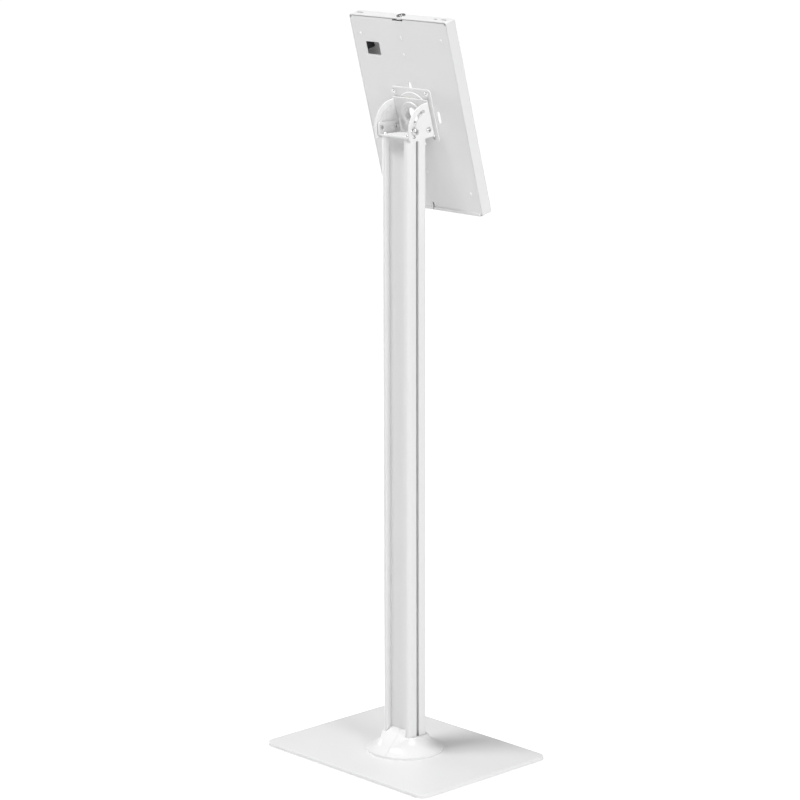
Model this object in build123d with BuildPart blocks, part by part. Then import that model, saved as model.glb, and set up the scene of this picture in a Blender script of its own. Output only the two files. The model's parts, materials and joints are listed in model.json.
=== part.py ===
from build123d import *
import os
from math import asin, cos, degrees, radians, sin

os.makedirs("parts", exist_ok=True)

# Adjustable tablet floor stand. Millimetres, +Z up, origin on the floor under the column.
# The screen side faces -Y. The case leans back about the tilt pivot and turns on a hollow hub.

# Fits shared by pieces that work together
slip_gap = 0.1
fit_gap = 0.05
screw_gap = 0.2
overrun = 5.0

# Floor plate and feet
base_width = 388.0
base_depth = 293.0
base_thickness = 6.0
base_corner_radius = 18.0
base_edge_radius = 1.5
foot_radius = 14.0
foot_thickness = 2.0
foot_inset = 34.0

# Screws from under the floor plate into the column's ports
base_screw_radius = 2.5
base_screw_head_radius = 5.0
base_screw_length = 30.0
countersink_angle = 90.0

# Column extrusion
column_width = 62.6
column_depth = 42.2
column_height = 1038.5
column_corner_radius = 5.0
channel_width = 44.6
channel_depth = 10.2
channel_lip_radius = 0.8
slot_mouth = 5.7
slot_lip = 2.2
slot_depth = 7.0
slot_cavity_width = 10.0
column_wall = 2.2
core_corner_radius = 2.0
port_wall = 2.0
port_from_end = 5.6

# Trumpet foot trim in two halves round the column
trim_radius = 65.0
trim_height = 29.4
flare_radius = 30.0
flare_centre_out = 68.2
flare_centre_up = 33.5
trim_wall = 2.4
trim_rim_round = 0.8
facet_near = 22.6
facet_far = 49.6
facet_low = 10.0
trim_column_gap = 0.3
seam_turn = 13.4
seam_gap = 0.3

# Fixed yoke on the column's head
yoke_sheet = 2.5
yoke_overhang = 1.6
pivot_rise = 12.3
pivot_forward = 16.2
ear_outside = 37.3
ear_top = 9.0
ear_front_radius = 11.0
ear_rear_radius = 3.0
bend_radius = 3.0
inner_bend_radius = 0.8
yoke_screw_radius = 2.5
yoke_screw_head_radius = 4.0
yoke_screw_head_height = 2.6
yoke_screw_length = 22.0
yoke_screw_socket = 1.6
yoke_screw_socket_depth = 1.4

# Pivot and lock bolts, their washers and the pressed nuts inside the ears
bolt_radius = 3.0
nut_radius = 4.6
nut_length = 1.2
bolt_end_recess = 2.2
pivot_head_radius = 4.9
pivot_head_height = 2.8
pivot_head_round = 1.8
lock_head_radius = 5.0
lock_head_height = 6.0
lock_head_round = 0.6
lock_washer_radius = 6.4
lock_washer_thickness = 1.2
hex_socket_width = 4.4
hex_socket_depth = 2.6
pivot_socket_depth = 1.6
tilt_washer_radius = 8.0
tilt_washer_thickness = 0.5

# Tilting yoke with its two quadrants
case_lean = 15.0
lock_orbit = 32.4
quadrant_radius = 43.8
quadrant_front_drop = 14.0
quadrant_rear_drop = 7.6
quadrant_corner_radius = 7.0
arc_slot_width = 6.3
tilt_up_stop = 15.0
tilt_flat_stop = 70.0
arc_slot_spare_angle = 1.0
yoke_plate_top = 46.5
yoke_plate_side_edge = 10.0
hub_tab_radius = 26.0
hub_tab_fillet = 4.0

# Turning hub: a hollow tube with its ring and washers
pivot_setback = 15.5
hub_rise = 18.4
hub_bore_radius = 14.0
hub_tube_radius = 17.0
hub_flange_radius = 35.0
hub_ring_radius = 23.0
hub_ring_thickness = 3.0
hub_ring_round = 0.8
front_washer_radius = 29.0
rear_washer_radius = 22.0
hub_washer_thickness = 0.6

# Turning plate
plate_width = 92.0
plate_height = 89.0
plate_corner_radius = 6.0
plate_sheet = 2.0
disc_radius = 38.0
disc_rise = 1.2
disc_round = 0.6
plate_screw_spacing = 75.0
plate_screw_radius = 2.0
plate_head_radius = 4.0
plate_head_height = 1.5
plate_head_round = 0.7
plate_nut_radius = 3.6
plate_nut_height = 3.0
plate_socket = 1.3
plate_socket_depth = 0.9

# Case: a rear tray plate inside a front cover
case_width = 225.0
case_above_hub = 162.5
case_below_hub = 166.8
case_depth = 22.0
case_sheet = 1.5
case_corner_radius = 4.0
case_edge_radius = 2.5
tray_gap = 0.5
screen_border = 34.5
screen_height = 208.0
screen_corner_radius = 3.0
lip_height = 5.0
lip_corner_trim = 6.0
hook_gap = 1.0

# Openings in the tray plate, measured from the case's centre
cable_hole_radius = 15.0
camera_width = 32.0
camera_height = 22.0
camera_inset = 43.0
camera_up = 106.5
camera_corner_radius = 2.0
tie_slot_width = 6.5
upper_slot_length = 12.0
upper_slot_up = 47.6
side_slot_length = 20.0
side_slot_side = 54.0
side_slot_down = 2.0
lower_slot_length = 22.0
lower_slot_width = 5.0
lower_slot_down = 51.0
top_notch_width = 24.5
top_notch_depth = 2.5
corner_notch = 3.0
bottom_notch_width = 3.4
bottom_notch_height = 10.3

# Button slots in the cover's top wall
button_slot_width = 3.0
long_button_slot = 15.0
mid_button_slot = 12.0
short_button_slot = 7.5
long_button_inset = 16.0
mid_button_inset = 14.5
short_button_inset = 33.5

# The tablet that the case holds, and what holds it
tablet_inset = 25.45
tablet_height = 250.6
tablet_thickness = 7.5
tablet_gap = 0.7
holder_wall = 11.0
holder_leg = 24.0
holder_ledge = 7.5
holder_pad = 1.5
holder_screw_radius = 1.5
holder_head_radius = 2.9
holder_head_height = 1.3
holder_screw_inset = 19.0
holder_screw_up = 130.0
holder_corner_radius = 3.0

# Rivets on the centre line, the lock's keeper and the cable clip
rivet_radius = 1.6
rivet_head_radius = 2.9
rivet_head_height = 1.0
upper_rivet_up = 128.7
middle_rivet_up = 99.7
lower_rivet_down = 100.8
keeper_sheet = 1.5
keeper_width = 22.0
keeper_foot_low = 93.0
keeper_foot_high = 152.0
keeper_tab_low = 141.0
keeper_tab_height = 16.8
keeper_tab_gap = 0.4
keeper_strip = 2.3
keeper_window_margin = 0.7
clip_width = 12.0
clip_foot_length = 14.0
clip_bridge_height = 6.0
clip_bridge_length = 14.0
clip_end_gap = 1.5

# Cam lock in the cover's top wall
lock_depth = 10.5
lock_body_radius = 6.0
lock_body_length = 12.0
lock_bezel_radius = 7.5
lock_bezel_height = 2.0
lock_bezel_round = 0.7
plug_radius = 4.0
plug_tail = 1.5
key_slot_width = 1.2
key_slot_length = 5.0
key_slot_depth = 3.0
lock_nut_width = 15.0
lock_nut_height = 2.5
cam_reach = 8.4
cam_width = 5.0
cam_thickness = 2.0
cam_screw_radius = 1.5
cam_screw_head_radius = 2.8
cam_screw_head_height = 1.2

# Heights and planes that follow from the sizes above
plate_top = foot_thickness + base_thickness
column_top = plate_top + column_height
yoke_floor_top = column_top + yoke_sheet
lean = radians(case_lean)
back_dir = Vector(0, cos(lean), -sin(lean))
up_dir = Vector(0, sin(lean), cos(lean))
backward = Axis((0, 0, 0), back_dir)
upward = Axis((0, 0, 0), up_dir)
pivot = Vector(0, -pivot_forward, column_top + pivot_rise)
case_centre = pivot - back_dir * pivot_setback + up_dir * hub_rise
case_plane = Plane(origin=case_centre, x_dir=(1, 0, 0), z_dir=-back_dir)
quadrant_plane = Plane(origin=pivot, x_dir=back_dir, z_dir=(1, 0, 0))
stand_plane = Plane(origin=pivot, x_dir=(0, 1, 0), z_dir=(1, 0, 0))
lock_bolt_place = pivot + Vector(0, lock_orbit, 0)

# Screw ports sit in the four lips beside the channels
lip_width = (column_width - channel_width) / 2
port_x = column_width / 2 - lip_width / 2
port_y = column_depth / 2 - port_from_end
port_radius = lip_width / 2 - port_wall

# Layers behind the case's back plane, as distances from that plane
disc_back = plate_sheet + disc_rise
front_washer_face = disc_back + fit_gap
yoke_face = front_washer_face + hub_washer_thickness + fit_gap
yoke_back = yoke_face + yoke_sheet
rear_washer_back = yoke_back + fit_gap + hub_washer_thickness
hub_ring_back = rear_washer_back + fit_gap + hub_ring_thickness
yoke_rear_m = yoke_back - pivot_setback
yoke_front_m = yoke_face - pivot_setback

# Widths across the two yokes
ear_inside = ear_outside - yoke_sheet
quadrant_inside = ear_outside + tilt_washer_thickness + 2 * slip_gap
quadrant_outside = quadrant_inside + yoke_sheet
yoke_floor_depth = column_depth + 2 * yoke_overhang
ear_front = -yoke_floor_depth / 2 + pivot_forward
ear_rear = yoke_floor_depth / 2 + pivot_forward

# Widths inside the case, from the middle
screen_width = case_width - 2 * screen_border
tablet_width = case_width - 2 * tablet_inset
camera_side = case_width / 2 - camera_inset
holder_screw_side = case_width / 2 - holder_screw_inset
long_button_side = case_width / 2 - long_button_inset
mid_button_side = case_width / 2 - mid_button_inset
short_button_side = case_width / 2 - short_button_inset

# Heights inside the case, in front of its back plane
cover_inside = case_depth - case_sheet
tablet_front = cover_inside - tablet_gap
tablet_back = tablet_front - tablet_thickness
case_height = case_above_hub + case_below_hub
case_middle = (case_above_hub - case_below_hub) / 2
tray_top = case_above_hub - case_sheet - hook_gap
tray_bottom = -case_below_hub + case_sheet + hook_gap
wall_top = case_above_hub
wall_inside = wall_top - case_sheet
lock_body_end = wall_inside - lock_body_length
cam_top = lock_body_end - plug_tail
tab_inside = lock_body_radius + keeper_tab_gap


def level(height):
    """The case's own plane, moved the given distance towards the screen."""
    return case_plane.offset(height)


def across(side, place):
    """A plane facing out of one side of the yokes, at the given distance from the middle."""
    return Plane(origin=(side * place.X, place.Y, place.Z), x_dir=(0, side, 0), z_dir=(side, 0, 0))


def finish(part, name):
    part.label = name
    export_step(part, "parts/" + name + ".step")


# Floor plate with countersunk holes on its underside
underside = Plane(origin=(0, 0, foot_thickness), x_dir=(1, 0, 0), z_dir=(0, 0, -1))
with BuildPart() as base_plate:
    with BuildSketch(Plane.XY.offset(foot_thickness)):
        RectangleRounded(base_width, base_depth, base_corner_radius)
    extrude(amount=base_thickness)
    fillet(base_plate.faces().sort_by(Axis.Z)[-1].edges(), base_edge_radius)
    with Locations(underside):
        with GridLocations(2 * port_x, 2 * port_y, 2, 2):
            CounterSinkHole(
                base_screw_radius + screw_gap,
                base_screw_head_radius + screw_gap,
                depth=base_thickness,
                counter_sink_angle=countersink_angle,
            )
finish(base_plate.part, "base_plate")

# Four round rubber feet
with BuildPart() as base_feet:
    with BuildSketch():
        with GridLocations(base_width - 2 * foot_inset, base_depth - 2 * foot_inset, 2, 2):
            Circle(foot_radius)
    extrude(amount=foot_thickness)
finish(base_feet.part, "base_feet")

# Countersunk screws that hold the column
head_drop = base_screw_head_radius - base_screw_radius
with BuildPart() as base_screws:
    with BuildSketch(Plane.XY.offset(foot_thickness)):
        with GridLocations(2 * port_x, 2 * port_y, 2, 2):
            Circle(base_screw_radius)
    extrude(amount=base_screw_length)
    with Locations((0, 0, foot_thickness + head_drop / 2)):
        with GridLocations(2 * port_x, 2 * port_y, 2, 2):
            Cone(base_screw_head_radius, base_screw_radius, head_drop)
finish(base_screws.part, "base_screws")

# Column: one extruded section with a channel front and back, a slot down each side and four ports
with BuildPart() as column:
    with BuildSketch(Plane.XY.offset(plate_top)) as section:
        RectangleRounded(column_width, column_depth, column_corner_radius)
        with GridLocations(0, column_depth, 1, 2):
            Rectangle(channel_width, 2 * channel_depth, mode=Mode.SUBTRACT)
        with GridLocations(column_width, 0, 2, 1):
            Rectangle(2 * slot_depth, slot_mouth, mode=Mode.SUBTRACT)
        with GridLocations(column_width - slot_depth - slot_lip, 0, 2, 1):
            Rectangle(slot_depth - slot_lip, slot_cavity_width, mode=Mode.SUBTRACT)
        RectangleRounded(
            column_width - 2 * (slot_depth + column_wall),
            column_depth - 2 * (channel_depth + column_wall),
            core_corner_radius,
            mode=Mode.SUBTRACT,
        )
        with GridLocations(2 * port_x, 2 * port_y, 2, 2):
            Circle(port_radius, mode=Mode.SUBTRACT)
        lip_corners = section.vertices().group_by(Axis.Y)[0] + section.vertices().group_by(Axis.Y)[-1]
        lip_corners = lip_corners.filter_by(lambda corner: abs(abs(corner.X) - channel_width / 2) < fit_gap)
        fillet(lip_corners, channel_lip_radius)
    extrude(amount=column_height)
finish(column.part, "column")


# Trumpet trim: a concave flare with a leaf-shaped facet front and back, hollow underneath.
# Each facet runs on into the column's channel as a sloping tongue.
facet_drop = trim_height - facet_low
facet_reach = facet_far - facet_near
facet_length = (facet_drop ** 2 + facet_reach ** 2) ** 0.5
wall_share = facet_length / facet_reach
facet_wall = trim_wall * wall_share
tongue_in = column_depth / 2 - channel_depth + trim_column_gap
tongue_out = facet_near + trim_wall
tongue_top = plate_top + trim_height + (facet_near - tongue_in) * facet_drop / facet_reach
tongue_end = plate_top + trim_height - trim_wall * facet_drop / facet_reach


def trim_blank(inset):
    """The trim's outer form, or its cavity when drawn a wall's thickness inside."""
    reach = flare_radius + inset
    edge = trim_radius - inset
    top = trim_height - inset
    edge_up = flare_centre_up - (reach ** 2 - (flare_centre_out - edge) ** 2) ** 0.5
    top_out = flare_centre_out - (reach ** 2 - (flare_centre_up - top) ** 2) ** 0.5
    halfway = (flare_centre_out - reach * cos(radians(45)), flare_centre_up - reach * sin(radians(45)))
    lowered = inset * wall_share
    with BuildPart() as blank:
        with BuildSketch(Plane.XZ):
            with BuildLine():
                ThreePointArc((edge, edge_up), halfway, (top_out, top))
                Polyline((top_out, top), (0, top), (0, 0), (edge, 0), (edge, edge_up))
            make_face()
        revolve(axis=Axis.Z)
        with BuildSketch(Plane.YZ):
            with BuildLine():
                Polyline(
                    (facet_near, trim_height - lowered),
                    (facet_far, facet_low - lowered),
                    (trim_radius + overrun, facet_low - lowered),
                    (trim_radius + overrun, trim_height + overrun),
                    (facet_near, trim_height + overrun),
                    close=True,
                )
            make_face()
            mirror(about=Plane.YZ)
        extrude(amount=trim_radius, both=True, mode=Mode.SUBTRACT)
    return blank.part.moved(Location((0, 0, plate_top)))


def trim_half(side, name):
    """One half of the trim, on the +X side or the -X side of the seam."""
    seam = Plane(origin=(0, 0, 0), z_dir=(cos(radians(seam_turn)), sin(radians(seam_turn)), 0))
    seam = seam.offset(side * seam_gap / 2)
    with BuildPart() as half:
        add(trim_blank(0))
        rim = half.edges().filter_by(GeomType.CIRCLE).sort_by(SortBy.RADIUS)[-2:]
        fillet(rim.sort_by(Axis.Z)[-1], trim_rim_round)
        add(trim_blank(trim_wall), mode=Mode.SUBTRACT)
        with BuildSketch(Plane.XY.offset(plate_top)):
            RectangleRounded(
                column_width + 2 * trim_column_gap,
                column_depth + 2 * trim_column_gap,
                column_corner_radius + trim_column_gap,
            )
        extrude(amount=trim_height + overrun, mode=Mode.SUBTRACT)
        with BuildSketch(Plane.YZ.offset(trim_column_gap - channel_width / 2)):
            with BuildLine():
                Polyline(
                    (tongue_in, tongue_top),
                    (tongue_out, tongue_end),
                    (tongue_out, tongue_end - facet_wall),
                    (tongue_in, tongue_top - facet_wall),
                    close=True,
                )
            make_face()
            mirror(about=Plane.YZ)
        extrude(amount=channel_width - 2 * trim_column_gap)
        split(bisect_by=seam, keep=Keep.TOP if side > 0 else Keep.BOTTOM)
    finish(half.part, name)


trim_half(1, "foot_trim_right")
trim_half(-1, "foot_trim_left")

# Fixed yoke: a folded sheet with a floor on the column and an ear at each side
with BuildPart() as base_yoke:
    with BuildSketch(stand_plane.offset(-ear_outside)):
        with BuildLine():
            Polyline(
                (ear_front, -pivot_rise),
                (ear_rear, -pivot_rise),
                (ear_rear, ear_top),
                (ear_front, ear_top),
                close=True,
            )
        make_face()
    extrude(amount=2 * ear_outside)
    lengthwise = base_yoke.edges().filter_by(Axis.X).group_by(Axis.Z)[-1].sort_by(Axis.Y)
    fillet(lengthwise[0], ear_front_radius)
    fillet(base_yoke.edges().filter_by(Axis.X).group_by(Axis.Z)[-1].sort_by(Axis.Y)[-1], ear_rear_radius)
    fillet(base_yoke.edges().filter_by(Axis.Y).group_by(Axis.Z)[0], bend_radius)
    with BuildSketch(Plane.XY.offset(yoke_floor_top)):
        Rectangle(2 * ear_inside, yoke_floor_depth + 2 * overrun)
    extrude(amount=pivot_rise + ear_top + overrun, mode=Mode.SUBTRACT)
    floor_corners = base_yoke.edges().filter_by(Axis.Y).filter_by_position(
        Axis.Z, yoke_floor_top - fit_gap, yoke_floor_top + fit_gap
    )
    fillet(floor_corners, inner_bend_radius)
    with BuildSketch(stand_plane.offset(-ear_outside - overrun)):
        with Locations((0, 0), (lock_orbit, 0)):
            Circle(nut_radius - screw_gap)
    extrude(amount=2 * (ear_outside + overrun), mode=Mode.SUBTRACT)
    with BuildSketch(Plane.XY.offset(column_top)):
        with GridLocations(2 * port_x, 2 * port_y, 2, 2):
            Circle(yoke_screw_radius + screw_gap)
    extrude(amount=yoke_sheet, mode=Mode.SUBTRACT)
finish(base_yoke.part, "base_yoke")

# Four screws through the yoke's floor into the column's ports
with BuildPart() as yoke_screws:
    with BuildSketch(Plane.XY.offset(yoke_floor_top - yoke_screw_length)):
        with GridLocations(2 * port_x, 2 * port_y, 2, 2):
            Circle(yoke_screw_radius)
    extrude(amount=yoke_screw_length)
    with BuildSketch(Plane.XY.offset(yoke_floor_top)):
        with GridLocations(2 * port_x, 2 * port_y, 2, 2):
            Circle(yoke_screw_head_radius)
    extrude(amount=yoke_screw_head_height)
    fillet(yoke_screws.faces().sort_by(Axis.Z)[-4:].edges(), yoke_screw_head_height / 2)
    with BuildSketch(Plane.XY.offset(yoke_floor_top + yoke_screw_head_height)):
        with GridLocations(2 * port_x, 2 * port_y, 2, 2):
            RegularPolygon(yoke_screw_socket, 6)
    extrude(amount=-yoke_screw_socket_depth, mode=Mode.SUBTRACT)
finish(yoke_screws.part, "yoke_screws")

# Threaded bushes pressed into the ears, for the pivot bolts and the lock bolts
with BuildPart() as ear_nuts:
    for side in (1, -1):
        for place in (pivot, lock_bolt_place):
            seat = across(side, place + Vector(ear_inside - nut_length, 0, 0))
            with BuildSketch(seat):
                Circle(nut_radius)
            extrude(amount=nut_length)
            with BuildSketch(seat):
                Circle(nut_radius - screw_gap)
            extrude(amount=nut_length + yoke_sheet)
            with BuildSketch(seat):
                Circle(bolt_radius + fit_gap)
            extrude(amount=nut_length + yoke_sheet, mode=Mode.SUBTRACT)
finish(ear_nuts.part, "ear_nuts")

# Plastic washers between each ear and its quadrant
with BuildPart() as tilt_washers:
    for side in (1, -1):
        with BuildSketch(across(side, pivot + Vector(ear_outside, 0, 0))):
            Circle(tilt_washer_radius)
            Circle(bolt_radius + fit_gap, mode=Mode.SUBTRACT)
        extrude(amount=tilt_washer_thickness)
finish(tilt_washers.part, "tilt_washers")

# Pivot bolts: low round heads on the outside of the quadrants
bolt_inner_end = ear_inside - nut_length + bolt_end_recess
pivot_seat = quadrant_outside + slip_gap
with BuildPart() as pivot_bolts:
    for side in (1, -1):
        with BuildSketch(across(side, pivot + Vector(bolt_inner_end, 0, 0))):
            Circle(bolt_radius)
        extrude(amount=pivot_seat - bolt_inner_end)
        with BuildSketch(across(side, pivot + Vector(pivot_seat, 0, 0))):
            Circle(pivot_head_radius)
        extrude(amount=pivot_head_height)
    caps = pivot_bolts.faces().sort_by(Axis.X)
    fillet(caps[0].edges() + caps[-1].edges(), pivot_head_round)
    for side in (1, -1):
        with BuildSketch(across(side, pivot + Vector(pivot_seat + pivot_head_height, 0, 0))):
            RegularPolygon(hex_socket_width / 2, 6, major_radius=False)
        extrude(amount=-pivot_socket_depth, mode=Mode.SUBTRACT)
finish(pivot_bolts.part, "pivot_bolts")

# Washers under the lock bolts' heads
with BuildPart() as lock_washers:
    for side in (1, -1):
        with BuildSketch(across(side, lock_bolt_place + Vector(pivot_seat, 0, 0))):
            Circle(lock_washer_radius)
            Circle(bolt_radius + fit_gap, mode=Mode.SUBTRACT)
        extrude(amount=lock_washer_thickness)
finish(lock_washers.part, "lock_washers")

# Lock bolts: cap heads that clamp the quadrants through their arc slots
lock_seat = pivot_seat + lock_washer_thickness
with BuildPart() as lock_bolts:
    for side in (1, -1):
        with BuildSketch(across(side, lock_bolt_place + Vector(bolt_inner_end, 0, 0))):
            Circle(bolt_radius)
        extrude(amount=lock_seat - bolt_inner_end)
        with BuildSketch(across(side, lock_bolt_place + Vector(lock_seat, 0, 0))):
            Circle(lock_head_radius)
        extrude(amount=lock_head_height)
    caps = lock_bolts.faces().sort_by(Axis.X)
    fillet(caps[0].edges() + caps[-1].edges(), lock_head_round)
    for side in (1, -1):
        with BuildSketch(across(side, lock_bolt_place + Vector(lock_seat + lock_head_height, 0, 0))):
            RegularPolygon(hex_socket_width / 2, 6, major_radius=False)
        extrude(amount=-hex_socket_depth, mode=Mode.SUBTRACT)
finish(lock_bolts.part, "lock_bolts")

# Tilting yoke: a back plate round the hub and two quadrants, each with an arc slot about the pivot
rear_corner_angle = -degrees(asin(quadrant_rear_drop / quadrant_radius))
front_corner_angle = 90 + degrees(asin(-yoke_rear_m / quadrant_radius))
slot_start = case_lean - tilt_up_stop - arc_slot_spare_angle
slot_sweep = tilt_up_stop + tilt_flat_stop + 2 * arc_slot_spare_angle
with BuildPart() as tilt_yoke:
    with BuildSketch(quadrant_plane.offset(-quadrant_outside)) as outline:
        with BuildLine():
            rim_sweep = front_corner_angle - rear_corner_angle
            rim = CenterArc((0, 0), quadrant_radius, rear_corner_angle, rim_sweep)
            Polyline(
                rim @ 1,
                (yoke_rear_m, yoke_plate_top),
                (yoke_front_m, yoke_plate_top),
                (yoke_front_m, -quadrant_front_drop),
                rim @ 0,
            )
        make_face()
        fillet(outline.vertices().sort_by_distance(rim @ 0)[0], quadrant_corner_radius)
    extrude(amount=2 * quadrant_outside)
    front_face = tilt_yoke.faces().sort_by(backward)[0]
    fillet(front_face.edges().filter_by(upward), bend_radius)
    with BuildSketch(quadrant_plane.offset(-quadrant_inside)):
        with Locations((yoke_rear_m, 0)):
            Rectangle(
                2 * quadrant_radius, 2 * (yoke_plate_top + overrun), align=(Align.MIN, Align.CENTER)
            )
    extrude(amount=2 * quadrant_inside, mode=Mode.SUBTRACT)
    with BuildSketch(level(-yoke_back - overrun)) as clearing:
        with Locations((0, yoke_plate_side_edge - hub_rise)):
            Rectangle(2 * quadrant_inside, 2 * quadrant_radius, align=(Align.CENTER, Align.MAX))
        Circle(hub_tab_radius, mode=Mode.SUBTRACT)
        fillet(
            clearing.vertices().group_by(Axis.Y)[-1].sort_by(Axis.X)[1:-1], hub_tab_fillet
        )
    extrude(amount=yoke_sheet + 2 * overrun, mode=Mode.SUBTRACT)
    with BuildSketch(level(-yoke_back - overrun)):
        Circle(hub_tube_radius + fit_gap)
    extrude(amount=yoke_sheet + 2 * overrun, mode=Mode.SUBTRACT)
    with BuildSketch(quadrant_plane.offset(-quadrant_outside - overrun)):
        Circle(bolt_radius + fit_gap)
        with BuildLine(mode=Mode.PRIVATE) as slot_path:
            CenterArc((0, 0), lock_orbit, slot_start, slot_sweep)
        SlotArc(slot_path.wires()[0], arc_slot_width)
    extrude(amount=2 * (quadrant_outside + overrun), mode=Mode.SUBTRACT)
finish(tilt_yoke.part, "tilt_yoke")


# Friction washers each side of the tilting yoke's plate
def hub_washer(back, radius, name):
    with BuildPart() as washer:
        with BuildSketch(level(-back)):
            Circle(radius)
            Circle(hub_tube_radius + fit_gap, mode=Mode.SUBTRACT)
        extrude(amount=hub_washer_thickness)
    finish(washer.part, name)


hub_washer(front_washer_face + hub_washer_thickness, front_washer_radius, "hub_washer_front")
hub_washer(rear_washer_back, rear_washer_radius, "hub_washer_rear")

# Hollow hub tube: its flange sits in the turning plate's recess, against the tray plate
with BuildPart() as hub_tube:
    with BuildSketch(level(-disc_rise)):
        Circle(hub_flange_radius)
    extrude(amount=disc_rise)
    with BuildSketch(level(-hub_ring_back)):
        Circle(hub_tube_radius)
    extrude(amount=hub_ring_back)
    with BuildSketch(level(-hub_ring_back - overrun)):
        Circle(hub_bore_radius)
    extrude(amount=hub_ring_back + 2 * overrun, mode=Mode.SUBTRACT)
finish(hub_tube.part, "hub_tube")

# Ring that screws on the tube's rear end and holds the stack together
with BuildPart() as hub_ring:
    with BuildSketch(level(-hub_ring_back)):
        Circle(hub_ring_radius)
        Circle(hub_tube_radius + fit_gap, mode=Mode.SUBTRACT)
    extrude(amount=hub_ring_thickness)
    rear_face = hub_ring.faces().sort_by(backward)[-1]
    fillet(rear_face.outer_wire().edges(), hub_ring_round)
finish(hub_ring.part, "hub_ring")

# Turning plate with a pressed disc, a recess in front of it and four screw holes
with BuildPart() as turning_plate:
    with BuildSketch(level(-plate_sheet)):
        RectangleRounded(plate_width, plate_height, plate_corner_radius)
    extrude(amount=plate_sheet)
    with BuildSketch(level(-disc_back)):
        Circle(disc_radius)
    extrude(amount=disc_rise)
    disc_edge = turning_plate.faces().sort_by(backward)[-1].edges()
    fillet(disc_edge, disc_round)
    with BuildSketch(level(-disc_rise)):
        Circle(hub_flange_radius + screw_gap)
    extrude(amount=disc_rise, mode=Mode.SUBTRACT)
    with BuildSketch(level(-disc_back)):
        Circle(hub_tube_radius + fit_gap)
        with GridLocations(plate_screw_spacing, plate_screw_spacing, 2, 2):
            Circle(plate_screw_radius + screw_gap)
    extrude(amount=disc_back, mode=Mode.SUBTRACT)
finish(turning_plate.part, "turning_plate")

# Screws through the turning plate into the tray plate's nuts
with BuildPart() as plate_screws:
    with BuildSketch(level(-plate_sheet)):
        with GridLocations(plate_screw_spacing, plate_screw_spacing, 2, 2):
            Circle(plate_screw_radius)
    extrude(amount=plate_sheet + case_sheet + plate_nut_height)
    with BuildSketch(level(-plate_sheet - plate_head_height)):
        with GridLocations(plate_screw_spacing, plate_screw_spacing, 2, 2):
            Circle(plate_head_radius)
    extrude(amount=plate_head_height)
    heads = plate_screws.faces().sort_by(backward)[-4:]
    fillet(heads.edges(), plate_head_round)
    with BuildSketch(level(-plate_sheet - plate_head_height)):
        with GridLocations(plate_screw_spacing, plate_screw_spacing, 2, 2):
            RegularPolygon(plate_socket, 6)
    extrude(amount=plate_socket_depth, mode=Mode.SUBTRACT)
finish(plate_screws.part, "plate_screws")

# Nuts on the inside of the tray plate for those screws
with BuildPart() as tray_nuts:
    with BuildSketch(level(case_sheet)):
        with GridLocations(plate_screw_spacing, plate_screw_spacing, 2, 2):
            RegularPolygon(plate_nut_radius, 6)
            Circle(plate_screw_radius + fit_gap, mode=Mode.SUBTRACT)
    extrude(amount=plate_nut_height)
finish(tray_nuts.part, "tray_nuts")

# Tray plate: the case's flat back, with its openings
tray_width = case_width - 2 * (case_sheet + tray_gap)
tray_height = tray_top - tray_bottom
with BuildPart() as tray_plate:
    with BuildSketch(level(0)):
        with Locations((0, case_middle)):
            RectangleRounded(tray_width, tray_height, case_corner_radius - case_sheet)
        Circle(cable_hole_radius, mode=Mode.SUBTRACT)
        with GridLocations(plate_screw_spacing, plate_screw_spacing, 2, 2):
            Circle(plate_screw_radius + screw_gap, mode=Mode.SUBTRACT)
        with Locations((camera_side, camera_up)):
            RectangleRounded(camera_width, camera_height, camera_corner_radius, mode=Mode.SUBTRACT)
        with Locations((0, upper_slot_up)):
            SlotOverall(upper_slot_length, tie_slot_width, rotation=90, mode=Mode.SUBTRACT)
        with Locations((-side_slot_side, -side_slot_down), (side_slot_side, -side_slot_down)):
            SlotOverall(side_slot_length, tie_slot_width, rotation=90, mode=Mode.SUBTRACT)
        with Locations((0, -lower_slot_down)):
            SlotOverall(lower_slot_length, lower_slot_width, mode=Mode.SUBTRACT)
        with Locations((0, tray_top)):
            Rectangle(top_notch_width, 2 * top_notch_depth, mode=Mode.SUBTRACT)
        with Locations((-tray_width / 2, tray_top), (tray_width / 2, tray_top)):
            Rectangle(2 * corner_notch, 2 * corner_notch, mode=Mode.SUBTRACT)
        with Locations((0, tray_bottom)):
            Rectangle(bottom_notch_width, 2 * bottom_notch_height, mode=Mode.SUBTRACT)
        with Locations((0, upper_rivet_up), (0, middle_rivet_up), (0, -lower_rivet_down)):
            Circle(rivet_radius + fit_gap, mode=Mode.SUBTRACT)
        with GridLocations(2 * holder_screw_side, 2 * holder_screw_up, 2, 2):
            Circle(holder_screw_radius + fit_gap, mode=Mode.SUBTRACT)
    extrude(amount=case_sheet)
finish(tray_plate.part, "tray_plate")

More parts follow.
